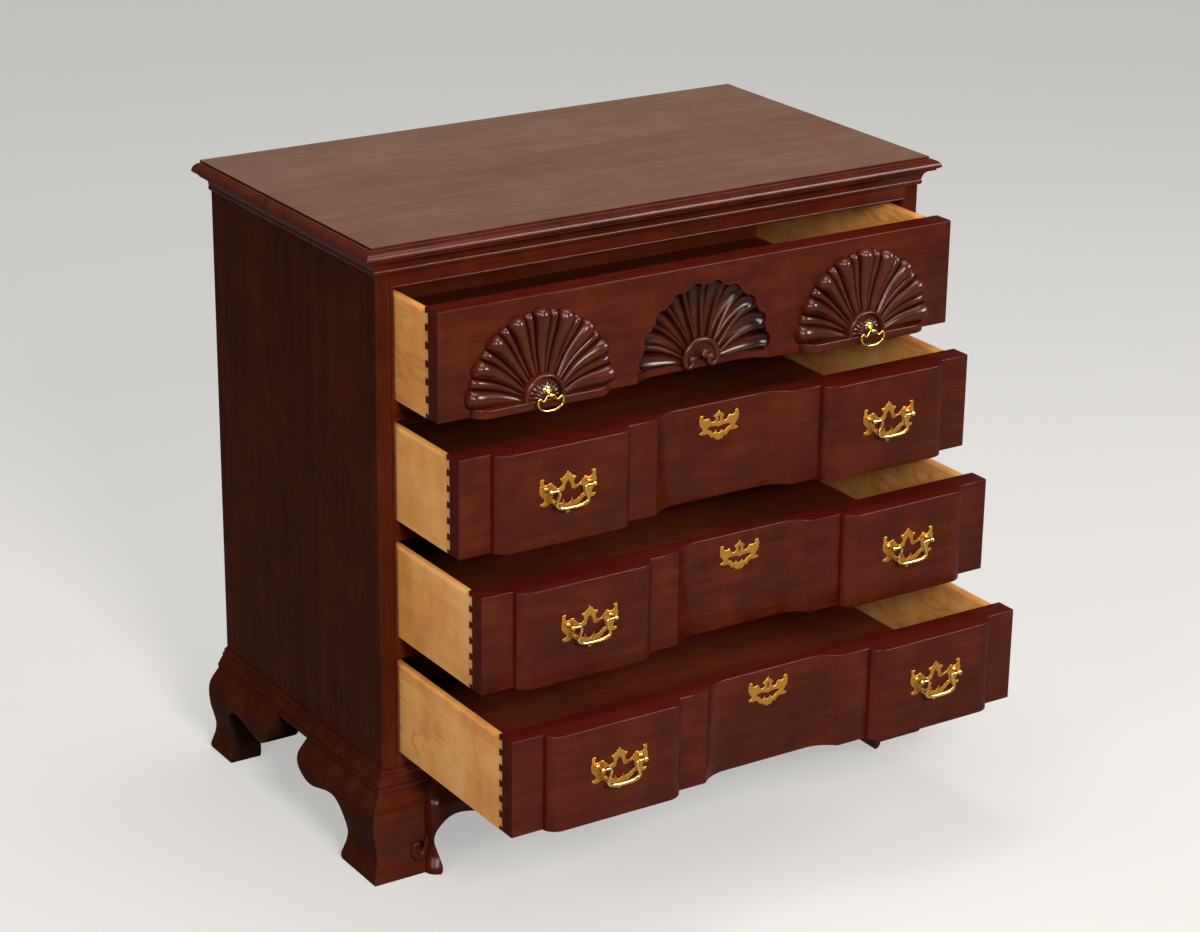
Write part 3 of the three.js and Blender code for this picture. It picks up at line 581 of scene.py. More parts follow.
# Case. Every arris is its width, its segments and the least angle that it rounds.
caseLook = {
    "halfWidth": 427.5, "sideThickness": 22, "bladeDepth": 62, "beadWidth": 3.5, "beadProud": 1.5,
    "beadDepth": 8, "railThickness": 22, "sideArris": (1.6, 3, 40), "railArris": (0.8, 2, 60),
    "railTop": ("edge_mahogany", 0.9, (0, 0, 1)),
}
sides = (("left", -1), ("right", 1))
blades = [f"drawer_blade_{number}" for number in (1, 2, 3)]
rails = ["bottom_rail", *reversed(blades), "top_rail"]
levels = {
    name: [corner.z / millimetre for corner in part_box(name)]
    for name in (*rails, "top", "cove_moulding", "side_left", "base_moulding_front")
}


# Half round bead as (across, forward) points on the inner edge of an opening
def beadOutline(look, steps=8):
    width, proud, depth = look["beadWidth"], look["beadProud"], look["beadDepth"]
    turns = turnsBetween(0, pi, steps)
    bead = [(width / 2 * (1 - cos(turn)), -proud * sin(turn)) for turn in turns]
    return [(0, depth), *bead, (width, depth)]


def addSides(look):
    inner = look["halfWidth"] - look["sideThickness"]
    openings = [(levels[below][1], levels[above][0]) for below, above in zip(rails, rails[1:])]
    for side, sign in sides:
        board = box((sign * inner, sign * look["halfWidth"]), (0, caseDepth), levels["side_left"])
        # the case sides take the darker side mahogany, partly painted shade
        addCasePiece(f"case_side_{side}", board, f"side_{side}", "side_mahogany", arris=look["sideArris"])
        outline = [(sign * (inner - across), y) for across, y in beadOutline(look)]
        beads = joined(*[prism("z", outline, *opening) for opening in openings])
        addCasePiece(f"side_beads_{side}", beads, f"side_{side}")


def addRails(look):
    inner, back = look["halfWidth"] - look["sideThickness"], look["bladeDepth"]
    plan = [(-inner, 0), *blockedLine(), (inner, 0), (inner, back), (-inner, back)]
    for name in ("bottom_rail", *blades):
        addCasePiece(
            name + "_shaped", prism("z", plan, *levels[name]), name, smooth="blocked",
            arris=look["railArris"], second=look["railTop"],
        )
    low, high = levels["top_rail"]
    opening = inner - look["beadWidth"]
    rail = box((-inner, inner), (0, look["railThickness"]), (low, high))
    bead = prism("x", [(y, low + across) for across, y in beadOutline(look)], -opening, opening)
    addCasePiece("top_rail_beaded", joined(rail, bead), "top_rail")


# Top board: underlip, thumbnail round and fillet, as (out, up from the underside)
topLook = {
    "out": 23, "thickness": 16.5, "filletHeight": 4, "filletRun": 1.5, "thumbRun": 12, "thumbHeight": 10,
    "lipRun": 4, "backOverhang": 12, "steps": 12, "arris": (0.9, 3, 60),
    # the top's upward faces take the paler mahogany, a painted sheen
    "upper": ("top_mahogany", 0.9995, (0, 0, 1)),
}


def addTop(look):
    floor, run, height = levels["top"][0], look["thumbRun"], look["thumbHeight"]
    fillet = look["thickness"] - look["filletHeight"]
    profile = [(look["out"] - look["lipRun"], 0)]
    for turn in turnsBetween(0, pi / 2, look["steps"]):
        profile.append((look["out"] - run * (1 - cos(turn)), fillet - height * (1 - sin(turn))))
    edge = look["out"] - run - look["filletRun"]
    profile += [(edge, fillet), (edge, look["thickness"])]
    half = caseLook["halfWidth"]
    back = caseDepth + look["backOverhang"]
    board = moulded(
        lambda out: [(-half - out, -out), (half + out, -out), (half + out, back), (-half - out, back)],
        [(out, floor + up) for out, up in profile],
    )
    addCasePiece("top_board", board, "top", arris=look["arris"], second=look["upper"])


# Cove moulding: bead, cove and fillet
coveLook = {"projection": 17.5, "fillet": 2.5, "radius": 14, "bead": 4, "beadRoot": 0.35, "steps": 10}


def addCove(look):
    floor, ceiling = levels["cove_moulding"]
    radius, steps, half = look["radius"], look["steps"], caseLook["halfWidth"]
    beadTop = ceiling - look["fillet"] - radius
    centre, reach = (floor + beadTop) / 2, (beadTop - floor) / 2
    profile = []
    for turn in turnsBetween(-pi / 2, pi / 2, steps):
        swell = look["beadRoot"] + (1 - look["beadRoot"]) * cos(turn)
        profile.append((look["bead"] * swell, centre + reach * sin(turn)))
    for turn in turnsBetween(0, pi / 2, steps):
        profile.append((look["projection"] - radius * cos(turn), beadTop + radius * sin(turn)))
    profile.append((look["projection"], ceiling))
    addCasePiece("cornice_cove", moulded(lambda out: [
        (-half - out, caseDepth), (-half - out, -out), (half + out, -out), (half + out, caseDepth),
        (half, caseDepth), (half, 0), (-half, 0), (-half, caseDepth),
    ], profile), "cove_moulding")


addSides(caseLook)
addRails(caseLook)
addTop(topLook)
addCove(coveLook)
print("case made")


# Base moulding, as shares of its projection and height from the bottom up
baseLook = {
    "projection": 15,
    "profile": [
        (0.94, 0), (1, 0.04), (1, 0.23), (0.95, 0.27), (0.82, 0.28), (0.82, 0.36), (0.74, 0.42), (0.61, 0.49),
        (0.51, 0.58), (0.46, 0.69), (0.46, 0.76), (0.31, 0.77), (0.29, 0.86), (0.22, 0.94), (0.1, 0.96),
        (0.1, 1),
    ],
}


def addBase(look):
    low, high = levels["base_moulding_front"]
    half = caseLook["halfWidth"]
    profile = [(out * look["projection"], low + up * (high - low)) for out, up in look["profile"]]
    inner = [(half, 0), *blockedLine()[::-1], (-half, 0)]
    front = moulded(lambda out: [(-half - out, -out), *blockedLine(out), (half + out, -out), *inner], profile)
    addCasePiece("base_moulding_blocked", front, "base_moulding_front")
    for side, sign in sides:
        plain = moulded(lambda out: [
            (half, 0), (half + out, -out), (half + out, caseDepth), (half, caseDepth),
        ], profile, sign)
        # the side returns take the darker side mahogany, partly painted shade
        addCasePiece(f"base_moulding_return_{side}", plain, f"base_moulding_{side}", "side_mahogany")


# Ogee feet: face as shares of projection and height, and the bracket's underside
footLook = {
    "projection": 31, "sideShare": 0.85, "height": 124, "wall": 18, "length": 190, "backThickness": 16,
    "steps": 3,
    "face": [
        (0.94, 0), (0.985, 0.03), (0.97, 0.07), (0.86, 0.13), (0.74, 0.2), (0.69, 0.29), (0.74, 0.37),
        (0.84, 0.46), (0.94, 0.56), (1, 0.68), (0.99, 0.78), (0.9, 0.86), (0.7, 0.93), (0.45, 1),
    ],
    "bracket": [
        (0.33, 0), (0.342, 0.1), (0.33, 0.24), (0.305, 0.4), (0.31, 0.54), (0.36, 0.65), (0.44, 0.7),
        (0.54, 0.69), (0.66, 0.64), (0.76, 0.6), (0.85, 0.595), (0.93, 0.65), (0.985, 0.74), (1, 0.86),
        (1, 1),
    ],
    "glueBlock": 36, "glueBlockLift": 31, "overrun": 4, "sideCosine": 0.7,
    # the rear feet's forward cut faces take the near black wood, painted shade under the case
    "shadedRearInner": ("stained_wood", 0.25, (0, -1, 0)),
    "frontArris": (1.8, 3, 55), "rearArris": (0.8, 2, 55), "blockArris": (1.5, 2),
    "scroll": [
        (372, 84), (372, 70), (372.5, 56), (374, 44), (376, 34), (381, 25), (389, 24), (394, 30.5),
        (391.5, 40), (384.5, 42.5), (380, 38), (382, 33.5),
    ],
    "scrollStart": 2, "scrollMiddle": 5.4, "scrollSteps": 4, "swellStart": 0.15, "swellRun": 0.75,
    "shadedEyeShare": 0.2,
}


def underBracket(look):
    length, height, past = look["length"], look["height"], look["overrun"]
    curve = smoothLine([(run * length, up * height) for run, up in look["bracket"]], look["steps"])
    beyond = length + look["projection"] + past
    return [(curve[0][0], -past), *curve, (length, height + past), (beyond, height + past), (beyond, -past)]


# Ridge that runs down beside the block and curls in on the face of a front foot
def footScroll(look, sign):
    line = [(sign * x, z) for x, z in smoothLine(look["scroll"], look["scrollSteps"])]
    swell = look["scrollMiddle"] - look["scrollStart"]

    def radiusAt(share):
        turn = pi * (look["swellStart"] + look["swellRun"] * share)
        return look["scrollStart"] + swell * sin(turn) ** 2

    points, faces, _ = rod(line, 0, radiusAt)
    face = [(up, out) for out, up in look["face"]]
    onFace = [(x, y - look["projection"] * valueAt(face, z / look["height"]), z) for x, y, z in points]
    # the inner end of the curl is painted dark, as shade in the scroll's eye
    eye = len(points) * (1 - look["shadedEyeShare"])
    hollows = [1.0 if index > eye else 0.0 for index in range(len(points))]
    return onFace, faces, hollows


def addFeet(look):
    half, length, past, glued = caseLook["halfWidth"], look["length"], look["overrun"], look["glueBlock"]
    wall, reach, front = half - look["wall"], half - length, -blocking["rise"]
    start, inner = caseDepth - length, caseDepth - look["backThickness"]
    face = smoothLine(look["face"], look["steps"])
    profile = [(min(out, 1) * look["projection"], up * look["height"]) for out, up in face]
    gap = underBracket(look)

    def frontPlan(out):
        blocked = [point for point in blockedLine(out, look["sideShare"]) if point[0] < -reach - past]
        return [
            (-wall, length), (-half - out, length), (-half - out, -out), *blocked,
            (-reach, front - out), (-reach, look["wall"]), (-wall, look["wall"]),
        ]

    def rearPlan(out):
        return [(wall, start), (half + out, start), (half + out, caseDepth), (wall, caseDepth)]

    for side, sign in sides:
        across = sorted((sign * (half + look["projection"] + past), sign * (wall - past)))
        frontGap = [(sign * (half - run), z) for run, z in gap]
        cutters = [
            prism("y", frontGap, front - look["projection"] - past, look["wall"] + past),
            prism("x", gap, *across),
        ]
        # faces turned to the side take the darker side mahogany, partly painted shade
        addCasePiece(
            f"ogee_foot_front_{side}", moulded(frontPlan, profile, -sign), f"foot_front_{side}",
            cutters=cutters, arris=look["frontArris"],
            second=("side_mahogany", look["sideCosine"], (sign, 0, 0)),
        )
        addCasePiece(f"foot_scroll_{side}", footScroll(look, sign), f"foot_front_{side}", smooth="scroll")
        # the rear feet take the darker side mahogany, partly painted shade, and their forward cut faces the
        # near black wood, painted shade
        addCasePiece(
            f"ogee_foot_rear_{side}", moulded(rearPlan, profile, sign), f"foot_rear_{side}", "side_mahogany",
            cutters=[prism("x", [(caseDepth - run, z) for run, z in gap], *across)],
            arris=look["rearArris"], second=look["shadedRearInner"],
        )
        board = box((sign * reach, sign * wall), (inner, caseDepth), (0, look["height"]))
        cutters = [prism("y", frontGap, inner - past, caseDepth + past)]
        # the rear bracket is near black wood, painted shade
        addCasePiece(f"rear_bracket_{side}", board, f"foot_rear_{side}", "stained_wood", cutters=cutters)
        for place, near in (("front", look["wall"]), ("rear", inner - glued)):
            across = (sign * (wall - glued), sign * wall)
            block = box(across, (near, near + glued), (look["glueBlockLift"], look["height"]))
            # the glue blocks are near black wood, painted shade
            addCasePiece(
                f"glue_block_{place}_{side}", block, f"foot_{place}_{side}", "stained_wood",
                arris=look["blockArris"],
            )


addBase(baseLook)
addFeet(footLook)
print("base and feet made")


# Drawer fronts
frontLook = {
    "halfWidth": 400.5, "thickness": 31, "arris": 1.4, "arrisSegments": 4,
    "boxInner": 386.5, "tails": 6, "tailLength": 6.8, "tailTopMargin": 3, "tailBase": 0.56, "tailTip": 0.70,
    "clearance": 0.15, "past": 2, "edges": ("edge_mahogany", 0.9, (0, 0, 1), (-1, 0, 0), (1, 0, 0)),
}
drawers = []
for number in (1, 2, 3, 4):
    low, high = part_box(f"drawer_{number}_front")
    drawers.append({
        "number": number,
        "body": f"drawer_{number}",
        "front": f"drawer_{number}_front",
        "face": high.y / millimetre - frontLook["thickness"],
        "floor": low.z / millimetre,
        "height": (high.z - low.z) / millimetre,
    })


# Board whose front follows a line, with rounded arrises
def roundedBoard(line, zLimits, look):
    half, radius = look["halfWidth"], look["arris"]
    turns = turnsBetween(0, pi / 2, look["arrisSegments"])
    corner = [(-half + radius * (1 - cos(turn)), radius * (1 - sin(turn))) for turn in turns]
    front = [*corner, *line, *mirrored(corner)[::-1]]
    back = [(half, look["thickness"]), (-half, look["thickness"])]
    low, high = zLimits
    edge = [(radius * (1 - sin(turn)), low + radius * (1 - cos(turn))) for turn in turns]
    levelled = [*edge, *[(inset, low + high - z) for inset, z in edge[::-1]]]
    rings = [[(x, y + inset, z) for x, y in front] + [(x, y, z) for x, y in back] for inset, z in levelled]
    return loft(rings)


# Dovetails across each of some spans of x, or the cutters of their sockets with a gap all round
def dovetails(drawer, look, gap, past, spans):
    pitch = (drawer["height"] - look["tailTopMargin"]) / look["tails"]
    base, tip = look["thickness"] + past, look["thickness"] - look["tailLength"] - 2 * gap
    slope = pitch * (look["tailTip"] - look["tailBase"]) / 2 / look["tailLength"]
    halfBase = pitch * look["tailBase"] / 2 + gap - slope * past
    halfTip = pitch * look["tailTip"] / 2 + gap
    tails = []
    for tail in range(look["tails"]):
        centre = drawer["floor"] + (tail + 0.5) * pitch
        right = [(base, centre - halfBase), (tip, centre - halfTip)]
        left = [(tip, centre + halfTip), (base, centre + halfBase)]
        tails += [prism("x", right + left, *sorted(span)) for span in spans]
    return tails


def addFront(name, line, drawer, look, cutters=()):
    gap, past = look["clearance"], look["past"]
    spans = [(sign * (look["boxInner"] - gap), sign * (look["halfWidth"] + past)) for _, sign in sides]
    sockets = joined(*dovetails(drawer, look, gap, past, spans))
    board = roundedBoard(line, (drawer["floor"], drawer["floor"] + drawer["height"]), look)
    addPiece(
        name, board, drawer["face"], "front_mahogany", drawer["body"], drawer["front"], "blocked",
        cutters=[sockets, *cutters], second=look["edges"],
    )


for drawer in drawers[1:]:
    addFront(f"blocked_front_{drawer['number']}", blockedLine(), drawer, frontLook)
print("blocked fronts made")


# Carved fans: lobes and ribs between a hub and a scalloped rim
anyFan = {
    "centreLift": 15, "rootStart": -16, "lobeColumns": 12, "ribColumns": 8, "profileSteps": 4,
    "rowPower": 1.5, "scallopPower": 0.7, "bulgeStart": 2.5,
}
raisedLook = {
    **anyFan, "rootRadius": 27, "rimStart": -1, "rimWidth": 111, "rimHeight": 115, "lobes": 9,
    "lobeShare": 0.66, "ribShare": 0.34, "rows": 26, "bulge": 6, "scallop": 0.045, "ribSetBack": 0.03,
    "height": 16.5, "ribHeight": 0.6, "grooveHeight": 0.26, "crestPower": 0.62, "hollowSpread": 1.7,
    "back": 2,
    "profile": [
        (0, 0.62), (0.12, 0.58), (0.3, 0.57), (0.45, 0.65), (0.6, 0.80), (0.74, 0.95), (0.84, 1),
        (0.91, 0.93), (0.96, 0.74), (0.99, 0.45), (1, 0.12),
    ],
}


# Columns across a fan as (share of the whole, share of the lobe or rib, is it a rib)
def fanColumns(look):
    widths = []
    for lobe in range(look["lobes"]):
        if lobe:
            widths.append((look["ribShare"], look["ribColumns"], True))
        widths.append((look["lobeShare"], look["lobeColumns"], False))
    total = sum(width for width, _, _ in widths)
    columns, start = [], 0
    for width, steps, rib in widths:
        first = 0 if start == 0 else 1
        for step in range(first, steps + 1):
            columns.append(((start + width * step / steps) / total, step / steps, rib))
        start += width
    return columns


# Angle at a share of the way across a fan that starts some degrees off level
def fanTurn(start, share):
    return radians(start + (180 - 2 * start) * share)


def fanShape(look, centre, heightAt, back):
    grid, hollows = [], []
    profile = smoothLine(look["profile"], look["profileSteps"])
    columns = fanColumns(look)
    for share, within, rib in columns:
        arch = sin(pi * within)
        rimTurn = fanTurn(look["rimStart"], share)
        trim = 1 - look["scallop"] * (1 - arch ** look["scallopPower"])
        trim -= look["ribSetBack"] * arch if rib else 0
        root = Vector(around((0, 0), look["rootRadius"], fanTurn(look["rootStart"], share)))
        rim = Vector((look["rimWidth"] * cos(rimTurn), look["rimHeight"] * sin(rimTurn))) * trim
        risen = min(max(look["bulgeStart"] * sin(rimTurn), 0), 1)
        bulge = 4 * look["bulge"] * abs(cos(rimTurn)) * risen
        for row in range(look["rows"] + 1):
            t = 1 - (1 - row / look["rows"]) ** look["rowPower"]
            point = root.lerp(rim, t)
            point.y += bulge * t * (1 - t)
            height, hollow = heightAt(look, t, arch, rib, valueAt(profile, t))
            grid.append((centre[0] + point.x, height, centre[1] + point.y))
            hollows.append(hollow)
    rows, count = look["rows"] + 1, len(columns)
    faces = gridFaces(count, rows)
    border = [c * rows for c in range(count)]
    border += [(count - 1) * rows + r for r in range(1, rows)]
    border += [c * rows + rows - 1 for c in range(count - 2, -1, -1)]
    border += [r for r in range(rows - 2, 0, -1)]
    first = len(grid)
    for corner in border:
        x, _, z = grid[corner]
        grid.append((x, back, z))
        hollows.append(hollows[corner])
    size = len(border)
    for step in range(size):
        following = (step + 1) % size
        faces.append([border[step], first + step, first + following, border[following]])
    faces.append([first + step for step in range(size)])
    return grid, faces, hollows


def raisedHeight(look, t, arch, rib, rise):
    crest = arch ** look["crestPower"]
    top = look["ribHeight"] if rib else 1.0
    level = look["grooveHeight"] + (top - look["grooveHeight"]) * crest
    # painted shade in the grooves between the lobes and ribs
    return -look["height"] * rise * level, max(0.0, 1 - crest * look["hollowSpread"])


# Fluted dish through stations of (radius, depth, how fluted, painted shade everywhere, painted shade in a
# flute)
def flutedDish(look, centre, stations):
    points, hollows = [], []
    for column in range(look["columns"] + 1):
        share = column / look["columns"]
        wave = 0.5 + 0.5 * cos(2 * pi * look["flutes"] * share)
        for radius, depth, fluted, still, waving in stations:
            x, z = around(centre, radius, fanTurn(look["start"], share))
            points.append((x, depth + look["fluteDepth"] * fluted * wave, z))
            hollows.append(still + waving * wave)
    return points, gridFaces(look["columns"] + 1, len(stations)), hollows


hubLook = {
    "radius": 30.5, "ring": 7, "ringRise": 17, "ringSteps": 8, "ringPower": 0.8, "ringSink": 2,
    "dishRise": 11.5, "dishPower": 1.6, "middleRise": 18, "middleRadius": 7, "start": -14, "flutes": 11,
    "fluteDepth": 1.6, "fluteSpan": 1.15, "rimShade": 0.3, "fluteShade": 0.6, "columns": 104, "rows": 14,
}
# Radius of the closed end of a turned shape
pointRadius = 0.01


# Horseshoe hub: a rounded ring round a fluted dish
def hubShape(look, centre):
    inner, rise = look["radius"] - look["ring"], look["dishRise"]
    low = rise - look["ringSink"]
    # the outer edge gets painted shade, and the flutes get painted shade in their hollows
    stations = [(look["radius"], 0, 0, look["rimShade"], 0)]
    for turn in turnsBetween(0, pi, look["ringSteps"]):
        depth = -low - (look["ringRise"] - low) * sin(turn) ** look["ringPower"]
        stations.append((look["radius"] - look["ring"] / 2 * (1 - cos(turn)), depth, 0, 0, 0))
    for step in range(1, look["rows"] + 1):
        share = step / look["rows"]
        fluted = sin(pi * min(share * look["fluteSpan"], 1))
        stations.append((
            inner + (look["middleRadius"] - inner) * share,
            -rise - (look["middleRise"] - rise) * share ** look["dishPower"],
            fluted, 0, look["fluteShade"] * fluted,
        ))
    stations.append((pointRadius, -look["middleRise"], 0, 0, 0))
    points, faces, hollows = flutedDish(look, centre, stations)
    for first in (0, len(points) - len(stations)):
        faces.append([first + r for r in range(len(stations))])
    return points, faces, hollows


sunkLook = {
    **anyFan, "rootRadius": 24, "rimStart": 1, "rimWidth": 104.5, "rimHeight": 108, "lobes": 10,
    "lobeShare": 0.64, "ribShare": 0.36, "rows": 28, "bulge": 9, "scallop": 0.05, "ribSetBack": 0.045,
    "depth": 18, "middle": 0.74, "swing": 0.26, "crestPower": 0.8, "hollowSpread": 1.9, "back": 22,
    "shadeStart": 0.45, "shadeDepth": 0.95, "openingTrim": 10, "cover": 1,
    "profile": [
        (0, 0.90), (0.15, 0.92), (0.35, 1), (0.6, 1), (0.76, 0.92), (0.88, 0.78), (0.96, 0.58), (1, 0.44),
    ],
}


def sunkHeight(look, t, arch, rib, rise):
    scoop = arch ** look["crestPower"]
    level = look["middle"] + (-look["swing"] if rib else look["swing"]) * scoop
    # painted shade: darker from partway out to the rim, for the shadow under the sunk shell's rim, on top of
    # painted shade in the grooves between lobes
    shade = max(0.0, t - look["shadeStart"]) / (1 - look["shadeStart"]) * look["shadeDepth"]
    hollow = min(1.0, max(0.0, 1 - scoop * look["hollowSpread"]) + shade)
    return look["depth"] * rise * level, hollow


# Hub of the sunk shell: a ring like a C whose ends curl in to two small balls, round a fluted dish
sunkHubLook = {
    "depth": 9.5, "ringRadius": 25.4, "thickness": 4.3, "endThickness": 3.2, "arcSteps": 24, "curlSteps": 3,
    "curl": [(25.6, 0), (24.2, -7), (19.5, -10), (14.5, -8.5), (12.4, -4), (14.5, -0.5)], "facets": 16,
    "ballRadius": 5.2, "ballShare": 0.8, "ballRoot": 3, "ballSteps": 8, "ballFacets": 24, "ballTip": 0.0001,
    "dishRadius": 23, "dishDepth": 9.5, "dishMiddle": 0.16, "start": -14, "flutes": 11, "fluteDepth": 1.8,
    "fluteStart": 0.15, "fluteShade": 0.85, "columns": 88, "rows": 8,
}


def sunkHubShape(look, centre):
    x0, z0 = centre
    arc = [around((0, 0), look["ringRadius"], turn) for turn in turnsBetween(0, pi, look["arcSteps"])]
    line = smoothLine([*look["curl"][::-1], *arc[1:-1], *mirrored(look["curl"])], look["curlSteps"])
    line = [(x0 + x, z0 + z) for x, z in line]
    swell = look["thickness"] - look["endThickness"]
    ring = rod(
        line, look["depth"], lambda share: look["endThickness"] + swell * sin(pi * share) ** 0.5,
        look["facets"],
    )
    radius = look["ballRadius"]
    profile = [(radius, -look["ballRoot"])]
    for turn in turnsBetween(pi / 2 - look["ballTip"], pi - look["ballTip"], look["ballSteps"]):
        profile.append((radius * sin(turn), -radius * cos(turn) * look["ballShare"]))
    x, z = look["curl"][-1]
    balls = [turned(profile, (x0 + sign * x, z0 + z), look["depth"], look["ballFacets"]) for _, sign in sides]
    stations = []
    for row in range(look["rows"] + 1):
        share = row / look["rows"]
        radius = look["dishRadius"] * (look["dishMiddle"] + (1 - look["dishMiddle"]) * share)
        fluted = sin(pi * min(share + look["fluteStart"], 1))
        # the flutes get painted shade in their hollows
        stations.append((radius, look["dishDepth"], fluted, 0, look["fluteShade"]))
    return joined(ring, *balls, flutedDish(look, centre, stations))


# Pad under a raised shell, with the plan of the blocks below and a top that follows the lowest lobes
padLook = {"lift": 6.5, "rise": 6.5, "behind": 3, "arris": (1.5, 3)}
# Slack for points that lie on an edge of the blocking
slack = 0.1


def padShape(look, sign, floor):
    plan = [(sign * -x, y) for x, y in blockedLine() if x <= slack - blocking["innerEdge"]]
    plan = [*plan, (plan[-1][0], look["behind"]), (plan[0][0], look["behind"])]
    reach = blocking["outerEdge"] - blockCentre

    def levelAt(x):
        return floor + look["lift"] + look["rise"] * abs(x - sign * blockCentre) / reach

    return loft([[(x, y, floor) for x, y in plan], [(x, y, levelAt(x)) for x, y in plan]])


def addCarvedFront(drawer, look):
    face, floor, past = drawer["face"], drawer["floor"], look["past"]
    carved = ("shell_mahogany", drawer["body"], drawer["front"], "carved")
    sunkCentre = (0, floor + sunkLook["centreLift"])
    fan = fanShape(sunkLook, sunkCentre, sunkHeight, sunkLook["back"])
    rows = sunkLook["rows"] + 1
    rim = [fan[0][c * rows + rows - 1] for c in range(len(fanColumns(sunkLook)))]
    trimmed = floor + sunkLook["openingTrim"]
    outline = [(rim[0][0], trimmed), *[(x, z) for x, _, z in rim], (rim[-1][0], trimmed)]
    opening = prism("y", outline, -past, sunkLook["back"] - sunkLook["cover"])
    edge = blocking["recessEdge"]
    channel = [(x, y) for x, y in blockedLine() if abs(x) <= edge + slack and y >= 0]
    channel += [(edge, -past), (-edge, -past)]
    channel = prism("z", channel, floor - past, sunkCentre[1] + sunkLook["cover"])
    addFront("carved_front_board", [], drawer, look, [opening, channel])
    addPiece("sunk_shell", fan, face, *carved)
    addPiece("sunk_shell_hub", sunkHubShape(sunkHubLook, sunkCentre), face, *carved)
    for side, sign in sides:
        centre = (sign * blockCentre, floor + raisedLook["centreLift"])
        fan = fanShape(raisedLook, centre, raisedHeight, raisedLook["back"])
        addPiece(f"raised_shell_{side}", fan, face, *carved)
        pad = padShape(padLook, sign, floor)
        addPiece(f"shell_pad_{side}", pad, face, "front_mahogany", *carved[1:], arris=padLook["arris"])
        addPiece(f"shell_hub_{side}", hubShape(hubLook, centre), face, *carved)


addCarvedFront(drawers[0], frontLook)
print("carved front made")


# Nodes whose CAD shape is right get softened edges and their material
def dressNode(name, look, width):
    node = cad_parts[name]
    node.data.materials.clear()
    node.data.materials.append(materials[look])
    node["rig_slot"] = slots[look]
    soften(node, width)


boxLook = {
    "outer": 399.5, "length": 441, "belowFloor": 1.7, "topDrop": 6, "round": 4.5, "roundSteps": 5,
    "groove": (8.1, 14.5), "grooveDepth": 5, "arris": (0.4, 2, 50), "backArris": 0.7, "boardArris": 0.5,
}


# Side of a drawer: rounded top edges, a groove for the bottom, and tails that fill the front's sockets
def drawerSide(drawer, look, joint, sign):
    floor, inner, outer = drawer["floor"], joint["boxInner"], look["outer"]
    top = floor + drawer["height"] - look["topDrop"]
    radius = look["round"]
    section = [(inner, floor - look["belowFloor"]), (outer, floor - look["belowFloor"])]
    for middle, start in ((outer - radius, 0), (inner + radius, pi / 2)):
        turns = turnsBetween(start, start + pi / 2, look["roundSteps"])
        section += [around((middle, top - radius), radius, turn) for turn in turns]
    low, high = (floor + level for level in look["groove"])
    deep = inner + look["grooveDepth"]
    section += [(inner, high), (deep, high), (deep, low), (inner, low)]
    side = prism("y", [(sign * x, z) for x, z in section], joint["thickness"], look["length"])
    return joined(side, *dovetails(drawer, joint, 0, 0, [(sign * inner, sign * outer)]))


for drawer in drawers:
    number = drawer["number"]
    for side, sign in sides:
        board = drawerSide(drawer, boxLook, frontLook, sign)
        addPiece(
            f"drawer_side_{number}_{side}", board, drawer["face"], "maple", drawer["body"],
            f"drawer_{number}_side_{side}", "blocked", arris=boxLook["arris"],
        )
    dressNode(f"drawer_{number}_back", "inner_wood", boxLook["backArris"])
    dressNode(f"drawer_{number}_bottom", "inner_wood", boxLook["boardArris"])
for name in ("back_panel", "bottom_board", "dustboard_1", "dustboard_2", "dustboard_3"):
    dressNode(name, "inner_wood", boxLook["boardArris"])
print("drawer boxes dressed")


# Brasses. An outline or hole is its right half, a post or rosette is (radius, reach) from the plate's back,
# and a route is in shares of the half span and the drop.
anyPlate = {"smoothing": 2, "past": 2, "arris": (0.45, 2, 30)}
plateLook = {
    **anyPlate, "thickness": 1.6, "postDrop": 54.5, "postSpacing": 64,
    "outline": [
        (0, 19.4), (1.8, 18), (1.4, 16.4), (4.4, 15.8), (4.1, 13.8), (7.3, 13.2), (7, 11.4), (10.2, 11.4),
        (12.4, 9.8), (10.8, 7.9), (9.2, 6.2), (8.8, 2.8), (10, 0.2), (13, -1.6), (16.5, -0.9), (18.2, 1.2),
        (20, 1.8), (20.8, 4.2), (23, 5), (23.8, 7.5), (27.5, 7.6), (31, 5.8), (34.6, 6.4), (36.4, 9),
        (36, 12.2), (34.8, 12.8), (35.6, 14.2), (38.8, 14.5), (41.3, 13.4), (41.5, 9), (41, 5.6), (42.3, 4),
        (42.4, -1), (41.5, -5.5), (38.6, -9.4), (35.6, -12), (35, -15), (36.8, -17.4), (40.6, -17.8),
        (40.8, -20), (37.4, -22), (31, -22), (28, -19.8), (24.5, -19.5), (21, -22.5), (18.5, -25.5),
        (16, -26), (14.5, -29), (11.5, -30), (10, -32.5), (6.5, -32.2), (4, -33), (2.6, -36), (0, -37.5),
    ],
    "hole": [
        (0, 7.2), (1.6, 5), (3.4, 2.5), (4.4, 0), (4.8, -3), (6.2, -5.4), (9.5, -6.2), (13.5, -5.2),
        (17, -3.2), (20.5, -3.6), (22.6, -7), (22.6, -11.5), (24.4, -13.6), (21.5, -15), (19.5, -15.8),
        (18.4, -18), (16, -18.4), (14.6, -20.8), (11, -21.4), (9, -22.6), (7.6, -20.6), (6.4, -17),
        (5.2, -20), (3.4, -23), (0, -24.6),
    ],
    "post": [
        (0.01, 0), (3.8, 0), (3.8, 0.7), (3.3, 1.2), (2.7, 1.7), (2.3, 2.6), (2.1, 4.6), (2.3, 6.6),
        (2.9, 7.6),
    ],
    "postNeck": 2.9, "ballRadius": 4.0, "reach": 11,
}
